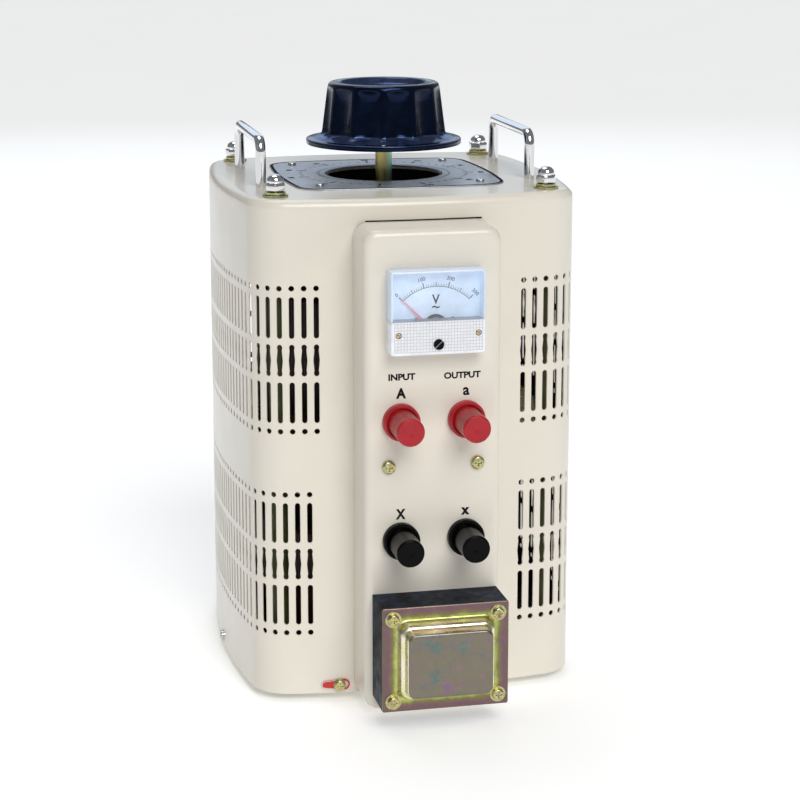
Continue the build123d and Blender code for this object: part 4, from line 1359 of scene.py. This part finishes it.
    def add_movement(self, place):
        """The dark arch that hides the coil, and the two stops beside it."""
        bm = bmesh.new()
        arch = [(-8.2, -2), (8.2, -2)] + arc_points(8.2, 20, 160, 16, (0, 2.6))
        prism(bm, arch, 0.1, 1.1)
        raised = bmesh.new()
        prism(raised, [(-5.6, -2), (5.6, -2)] + arc_points(5.6, 10, 170, 14, (0, 3.2)), 1.1, 1.6)
        add_shape(bm, raised, [Matrix.Identity(4)], 1)
        for x in (-13.2, 11.4):
            stop = bmesh.new()
            prism(stop, [(-0.9, 0), (0.9, 0), (0.5, 3.0), (-0.5, 3.0)], 0.1, 1.8)
            add_shape(bm, stop, [Matrix.Translation((x, 5.6, 0))], 0)
        bmesh.ops.transform(bm, matrix=on_front(0.4, 268.2, -place.print), verts=bm.verts)
        black = moulding("movement_black", (0.03, 0.03, 0.04), 0.4)
        grey = moulding("movement_grey", (0.28, 0.30, 0.36), 0.4)
        make_piece("meter_movement", bm, "frame", [black, grey])

    def add_needle(self, s, place):
        """The needle, which points up and left at nought."""
        bm = bmesh.new()
        edge = [(-9.0, -0.9), (-2.5, -0.9), (0, -1.1), (33.0, -0.28)]
        prism(bm, edge + [(x, -y) for x, y in reversed(edge)], -0.2, 0.2)
        hub = bmesh.new()
        spin_profile(hub, [(0, -1.5), (2.4, -1.5), (2.4, 0.7), (2.0, 1.1), (0, 1.1)], 24)
        add_shape(bm, hub, [Matrix.Identity(4)])
        pivot = on_front(0, s.meter_pivot, -place.back - 5.4)
        bmesh.ops.transform(bm, matrix=pivot @ Matrix.Rotation(radians(135), 4, "Z"), verts=bm.verts)
        paint = moulding("needle_paint", tuple(colours().needle), 0.4)
        make_piece("needle", bm, "meter_needle_body", [paint], ["meter_needle"])

    def add_screws(self, place):
        screws = bmesh.new()
        for x in (-26.8, 26.8):
            spot = on_front(x, 267.6, -place.front)
            rim = bmesh.new()
            spin_profile(rim, [(1.5, 0.02), (1.75, 0.08), (2.0, 0.02)], 32)
            add_shape(screws, rim, [spot], 1)
            head = bmesh.new()
            spin_profile(head, [(0, 0.3), (0.9, 0.28), (1.3, 0.12), (1.45, -0.3), (1.45, -1.0)], 32)
            bmesh.ops.recalc_face_normals(head, faces=head.faces)
            add_shape(screws, head, [spot], 0)
            slit = bmesh.new()
            prism(slit, [(-1.2, -0.16), (1.2, -0.16), (1.2, 0.16), (-1.2, 0.16)], 0.1, 0.34)
            add_shape(screws, slit, [spot @ Matrix.Rotation(0.6 + x, 4, "Z")], 1)
        finishes = [brass(), ink()]
        make_piece("cover_screws", screws, "frame", finishes, ["meter_screws"], sharp=45)


class REGULATOR_OT_posts(BuildStep):
    """Turns the binding posts' collars, washers and knurled caps"""

    bl_idname = "regulator.posts"
    bl_label = "Binding posts"

    def execute(self, context):
        s = sizes()
        collar_profile = [
            (3.2, 0.0), (12.2, 0.0), (12.5, 0.3), (12.5, 4.9), (12.3, 5.5), (11.7, 6.0), (10.9, 6.1),
            (10.3, 5.8), (10.0, 5.0), (9.9, 4.1), (3.2, 4.0), (3.2, 0.0),
        ]
        washer_profile = [
            (3.1, 4.05), (8.5, 4.05), (8.8, 4.2), (8.8, 5.5), (8.5, 5.62), (3.1, 5.62), (3.1, 4.05),
        ]
        rows = ((s.red_row, red_plastic(), "red"), (s.black_row, black_plastic(), "black"))
        for row, material, paint in rows:
            collars = bmesh.new()
            for x, side in ((-s.post_x, "input"), (s.post_x, "output")):
                place = on_front(x, row, -s.housing_front)
                name = f"{paint}_{side}"
                collar = bmesh.new()
                spin_profile(collar, collar_profile, 72)
                add_shape(collars, collar, [place])
                washer = bmesh.new()
                spin_profile(washer, washer_profile, 64)
                bmesh.ops.transform(washer, matrix=place, verts=washer.verts)
                body = name + "_washer_body"
                make_piece(name + "_contact", washer, body, [brass()], [name + "_washer"])
                cap = self.knurled_cap()
                bmesh.ops.transform(cap, matrix=place, verts=cap.verts)
                body = name + "_cap_body"
                make_piece(name + "_knob", cap, body, [material], [name + "_cap"], sharp=38)
            make_piece(paint + "_collars", collars, "frame", [material], [paint + "_post_bases"])
        dress(brass(), "post_studs", "post_nuts")
        return {"FINISHED"}

    @staticmethod
    def knurled_cap():
        bm = bmesh.new()
        count, groove = 144, 0.28
        plain = [(3.1, 5.7), (9.1, 5.7), (9.4, 6.0), (9.4, 7.4)]
        knurled = [(9.4, 7.9), (9.4, 27.4)]
        end = [
            (9.4, 27.9), (9.4, 30.4), (9.25, 31.3), (8.8, 31.8), (8.2, 31.95), (7.6, 31.85), (5.0, 31.8),
            (1.9, 31.75), (1.2, 31.55), (0.5, 31.45),
        ]
        loops = []
        for radius, height in plain + knurled + end:
            verts = circle_loop(bm, radius, height, count)
            if (radius, height) in knurled:
                for v in verts[::3]:
                    v.co.x *= (radius - groove) / radius
                    v.co.y *= (radius - groove) / radius
            loops.append(verts)
        join_loops(bm, loops)
        cap_loop(bm, loops[-1])
        deep = circle_loop(bm, 3.1, 27, count)
        join_loops(bm, [loops[0], deep])
        cap_loop(bm, deep)
        return bm


class REGULATOR_OT_choke(BuildStep):
    """Makes the choke's laminated core and its pressed cover"""

    bl_idname = "regulator.choke"
    bl_label = "Balance choke"

    def execute(self, context):
        s = sizes()
        place = on_front(s.choke_x, s.choke_z, -s.housing_front)
        core = bmesh.new()
        loops = [corner_loop(core, 85.8, 71.5, 0.5, depth, 2) for depth in (0.05, 15.35, 15.6, 30.95)]
        join_loops(core, loops)
        cap_loop(core, loops[0])
        cap_loop(core, loops[-1])
        bmesh.ops.transform(core, matrix=place, verts=core.verts)
        nodes = ["choke_core", "choke_winding"]
        make_piece("choke_stack", core, "frame", [laminations()], nodes, sharp=50)

        # width, height, corner radius and depth of each step of the pressing
        flange = [
            (85.8, 71.5, 1.2, 31.0), (86.0, 71.7, 1.3, 31.4), (86.0, 71.7, 1.3, 32.3),
            (85.4, 71.1, 1.2, 32.55), (84, 69.7, 1.0, 32.6), (70, 57, 8.5, 32.6), (68.0, 55.0, 8.2, 32.75),
        ]
        sides = [
            (66.4, 53.4, 7.9, 33.5), (65.2, 52.2, 7.5, 35.0), (64.2, 51.2, 7.2, 37.5),
            (63.4, 50.4, 7.0, 39.3), (62.4, 49.4, 6.8, 40.1), (60.8, 47.8, 6.4, 40.4),
            (59.8, 46.8, 6.2, 40.8), (59.1, 46.1, 6.0, 42.0), (58.5, 45.5, 5.8, 45.0),
            (58.0, 45.0, 5.6, 46.6), (57.2, 44.2, 5.3, 47.7),
        ]
        face = [(55.8, 42.8, 4.9, 48.35), (54.0, 41.0, 4.4, 48.5), (50, 37, 4.0, 48.5)]
        bell = bmesh.new()
        loops = [corner_loop(bell, w, h, r, d, 12) for w, h, r, d in flange + sides + face]
        join_loops(bell, loops)
        cap_loop(bell, loops[-1])
        cap_loop(bell, loops[0])
        bmesh.ops.transform(bell, matrix=place, verts=bell.verts)
        flange_end, sides_end = 33.2, 47.9
        for f in bell.faces:
            depth = -f.calc_center_median().y - s.housing_front
            f.material_index = 0 if depth < flange_end else 1 if depth < sides_end else 2
        finishes = [bell_flange_zinc(), bell_side_zinc(), bell_face_zinc()]
        make_piece("choke_cover", bell, "frame", finishes, ["choke_bell"], sharp=50)
        dress(passivated("screw_zinc", 260, False), "choke_screws", "panel_screws", "earth_screw")
        dress(bright_steel(), "casing_screws")
        dress(passivated("washer_green_zinc", 200, True), "choke_washers")
        return {"FINISHED"}


class REGULATOR_OT_inside(BuildStep):
    """Gives the coils, frame, wiring and feet their finishes"""

    bl_idname = "regulator.inside"
    bl_label = "Inside and feet"

    def execute(self, context):
        s = sizes()
        # tie rods, clamp bolts and spacers: olive like their zinc, darkened as painted shade inside the case
        rods = moulding("rod_olive_painted_shade", (0.075, 0.08, 0.02), 0.45)
        dress(rods, "tie_rods", "clamp_bolts", "rod_spacers")
        dress(passivated("plate_zinc", 30, True), "base_plate", "mid_plate")
        dress(coil_wire(), "coil_windings")
        dress(moulding("core_varnish", (0.02, 0.02, 0.022), 0.45), "coil_cores")
        board = moulding("brown_board", (0.05, 0.026, 0.014), 0.55, 500)
        dress(board, "coil_rings", "clamp_rings", "terminal_board")
        dress(brass(), "hub_bushes", "brush_holders")
        dress(moulding("carbon", (0.015, 0.015, 0.016), 0.55), "lower_brush", "upper_brush")
        casting, new = surface("casting", (0.16, 0.16, 0.165), 0.5, 1.0)
        if new:
            vary_roughness(casting, noise(casting, 200, 5), 0.32, 0.55)
            raise_surface(casting, (noise(casting, 600, 4), 0.3, 0.0004))
        dress(casting, "rotor_discs")
        dress(moulding("wire_insulation", (0.45, 0.02, 0.02), 0.4), "lead_wires")
        dress(moulding("rubber", (0.02, 0.02, 0.02), 0.75, 700), "rubber_feet")
        dress(moulding("tag_paint", (0.55, 0.02, 0.02), 0.35), "earth_tag")
        self.add_tag_edge(s)
        return {"FINISHED"}

    @staticmethod
    def add_tag_edge(s):
        """The pale edge printed round the earth tag."""
        around = plan_lengths(s.case_half, s.bow_radius, s.corner_radius)[1]
        place = on_wall(around - 57.0, 11.2, s) @ Matrix.Translation((0, 0, 0.88))
        left = [(-10.0 + x * 0.98, y * 0.98) for x, y in arc_points(2.6, 100, 260, 14)]
        right = arc_points(3.8, -80, 80, 14)
        middle = -4.4
        bm = bmesh.new()
        loops = []
        for along, across in ((1.0, 1.0), (0.937, 0.86)):
            verts = [bm.verts.new((middle + (x - middle) * along, y * across, 0)) for x, y in left + right]
            closed_edges(bm, verts)
            loops.append(verts)
        join_loops(bm, loops)
        bmesh.ops.transform(bm, matrix=place, verts=bm.verts)
        face_towards(bm, Vector((0, -1, 0)))
        paint = ink("tag_edge", (0.75, 0.72, 0.68))
        make_piece("earth_tag_edge", bm, "frame", [paint], outward=False)


class REGULATOR_OT_stage(BuildStep):
    """Sets the floor, the lights and the camera"""

    bl_idname = "regulator.stage"
    bl_label = "Floor, lights and camera"

    def execute(self, context):
        scene = context.scene
        bm = bmesh.new()
        bmesh.ops.create_grid(bm, x_segments=1, y_segments=1, size=12)
        mesh = bpy.data.meshes.new("floor")
        bm.to_mesh(mesh)
        bm.free()
        floor = bpy.data.objects.new("floor", mesh)
        scene.collection.objects.link(floor)
        paper, new = surface("pale_floor", (0.92, 0.92, 0.92), 0.7)
        if new:
            vary_colour(paper, noise(paper, 3, 3), [(0.3, (0.91, 0.91, 0.91)), (0.7, (0.93, 0.93, 0.93))])
            shader_of(paper).inputs["Emission Color"].default_value = (1, 1, 1, 1)
            shader_of(paper).inputs["Emission Strength"].default_value = 0.36
        mesh.materials.append(paper)

        world = bpy.data.worlds.new("studio")
        world.use_nodes = True
        backdrop = world.node_tree.nodes["Background"]
        backdrop.inputs["Color"].default_value = (0.92, 0.96, 1.0, 1)
        backdrop.inputs["Strength"].default_value = 0.19
        scene.world = world

        warm, cool, cold = (1.0, 0.99, 0.97), (0.86, 0.93, 1.0), (0.72, 0.84, 1.0)
        data = bpy.data.lights.new("front_daylight", "SUN")
        data.energy = 1.86
        data.angle = radians(35)
        data.color = warm
        lamp = bpy.data.objects.new("front_daylight", data)
        lamp.rotation_euler = Vector((-0.10, 1.0, -0.80)).to_track_quat("-Z", "Y").to_euler()
        scene.collection.objects.link(lamp)
        lights = (
            ("left_soft", (-1.9, -0.2, 0.9), (0, 0, 0.2), 0.7, 0.3, cool),
            ("top_soft", (-0.2, 0.5, 2.2), (0, 0, 0.3), 1.0, 10, warm),
            ("back_soft", (0.3, 2.6, 1.7), (0, 0, 0.3), 2.2, 13, cold),
        )
        for name, spot, target, size, power, tint in lights:
            data = bpy.data.lights.new(name, "AREA")
            data.shape = "SQUARE"
            data.size = size
            data.energy = power
            data.color = tint
            lamp = bpy.data.objects.new(name, data)
            lamp.location = spot
            lamp.rotation_euler = (Vector(target) - Vector(spot)).to_track_quat("-Z", "Y").to_euler()
            scene.collection.objects.link(lamp)

        data = bpy.data.cameras.new("camera")
        data.sensor_width = 36
        data.lens = 99.62
        data.shift_y = -0.09
        data.clip_start = 0.05
        data.clip_end = 60
        camera = bpy.data.objects.new("camera", data)
        camera.location = (-0.3285, -1.5464, 0.5656)
        camera.rotation_euler = (radians(78.25), 0, radians(-12.42))
        scene.collection.objects.link(camera)
        scene.camera = camera
        scene.view_settings.view_transform = "Standard"
        return {"FINISHED"}


class REGULATOR_PT_panel(bpy.types.Panel):
    """Lists the regulator's sizes, colours and building steps"""

    bl_idname = "REGULATOR_PT_panel"
    bl_label = "Voltage regulator"
    bl_space_type = "VIEW_3D"
    bl_region_type = "UI"
    bl_category = "Regulator"

    def draw(self, context):
        for key in RegulatorSizes.__annotations__:
            self.layout.prop(context.scene.regulator_sizes, key)
        for key in RegulatorColours.__annotations__:
            self.layout.prop(context.scene.regulator_colours, key)
        for step in steps:
            self.layout.operator(step.bl_idname)


steps = (
    REGULATOR_OT_wall,
    REGULATOR_OT_cover,
    REGULATOR_OT_housing,
    REGULATOR_OT_handles,
    REGULATOR_OT_nuts,
    REGULATOR_OT_dial,
    REGULATOR_OT_knob,
    REGULATOR_OT_meter,
    REGULATOR_OT_posts,
    REGULATOR_OT_choke,
    REGULATOR_OT_inside,
    REGULATOR_OT_stage,
)
classes = (RegulatorSizes, RegulatorColours, *steps, REGULATOR_PT_panel)


def register():
    for item in classes:
        bpy.utils.register_class(item)
    bpy.types.Scene.regulator_sizes = bpy.props.PointerProperty(type=RegulatorSizes)
    bpy.types.Scene.regulator_colours = bpy.props.PointerProperty(type=RegulatorColours)


def unregister():
    del bpy.types.Scene.regulator_colours
    del bpy.types.Scene.regulator_sizes
    for item in reversed(classes):
        bpy.utils.unregister_class(item)


def main():
    register()
    bpy.ops.regulator.wall()
    bpy.ops.regulator.cover()
    bpy.ops.regulator.housing()
    bpy.ops.regulator.handles()
    bpy.ops.regulator.nuts()
    bpy.ops.regulator.dial()
    bpy.ops.regulator.knob()
    bpy.ops.regulator.meter()
    bpy.ops.regulator.posts()
    bpy.ops.regulator.choke()
    bpy.ops.regulator.inside()
    bpy.ops.regulator.stage()


if __name__ == "__main__":
    main()
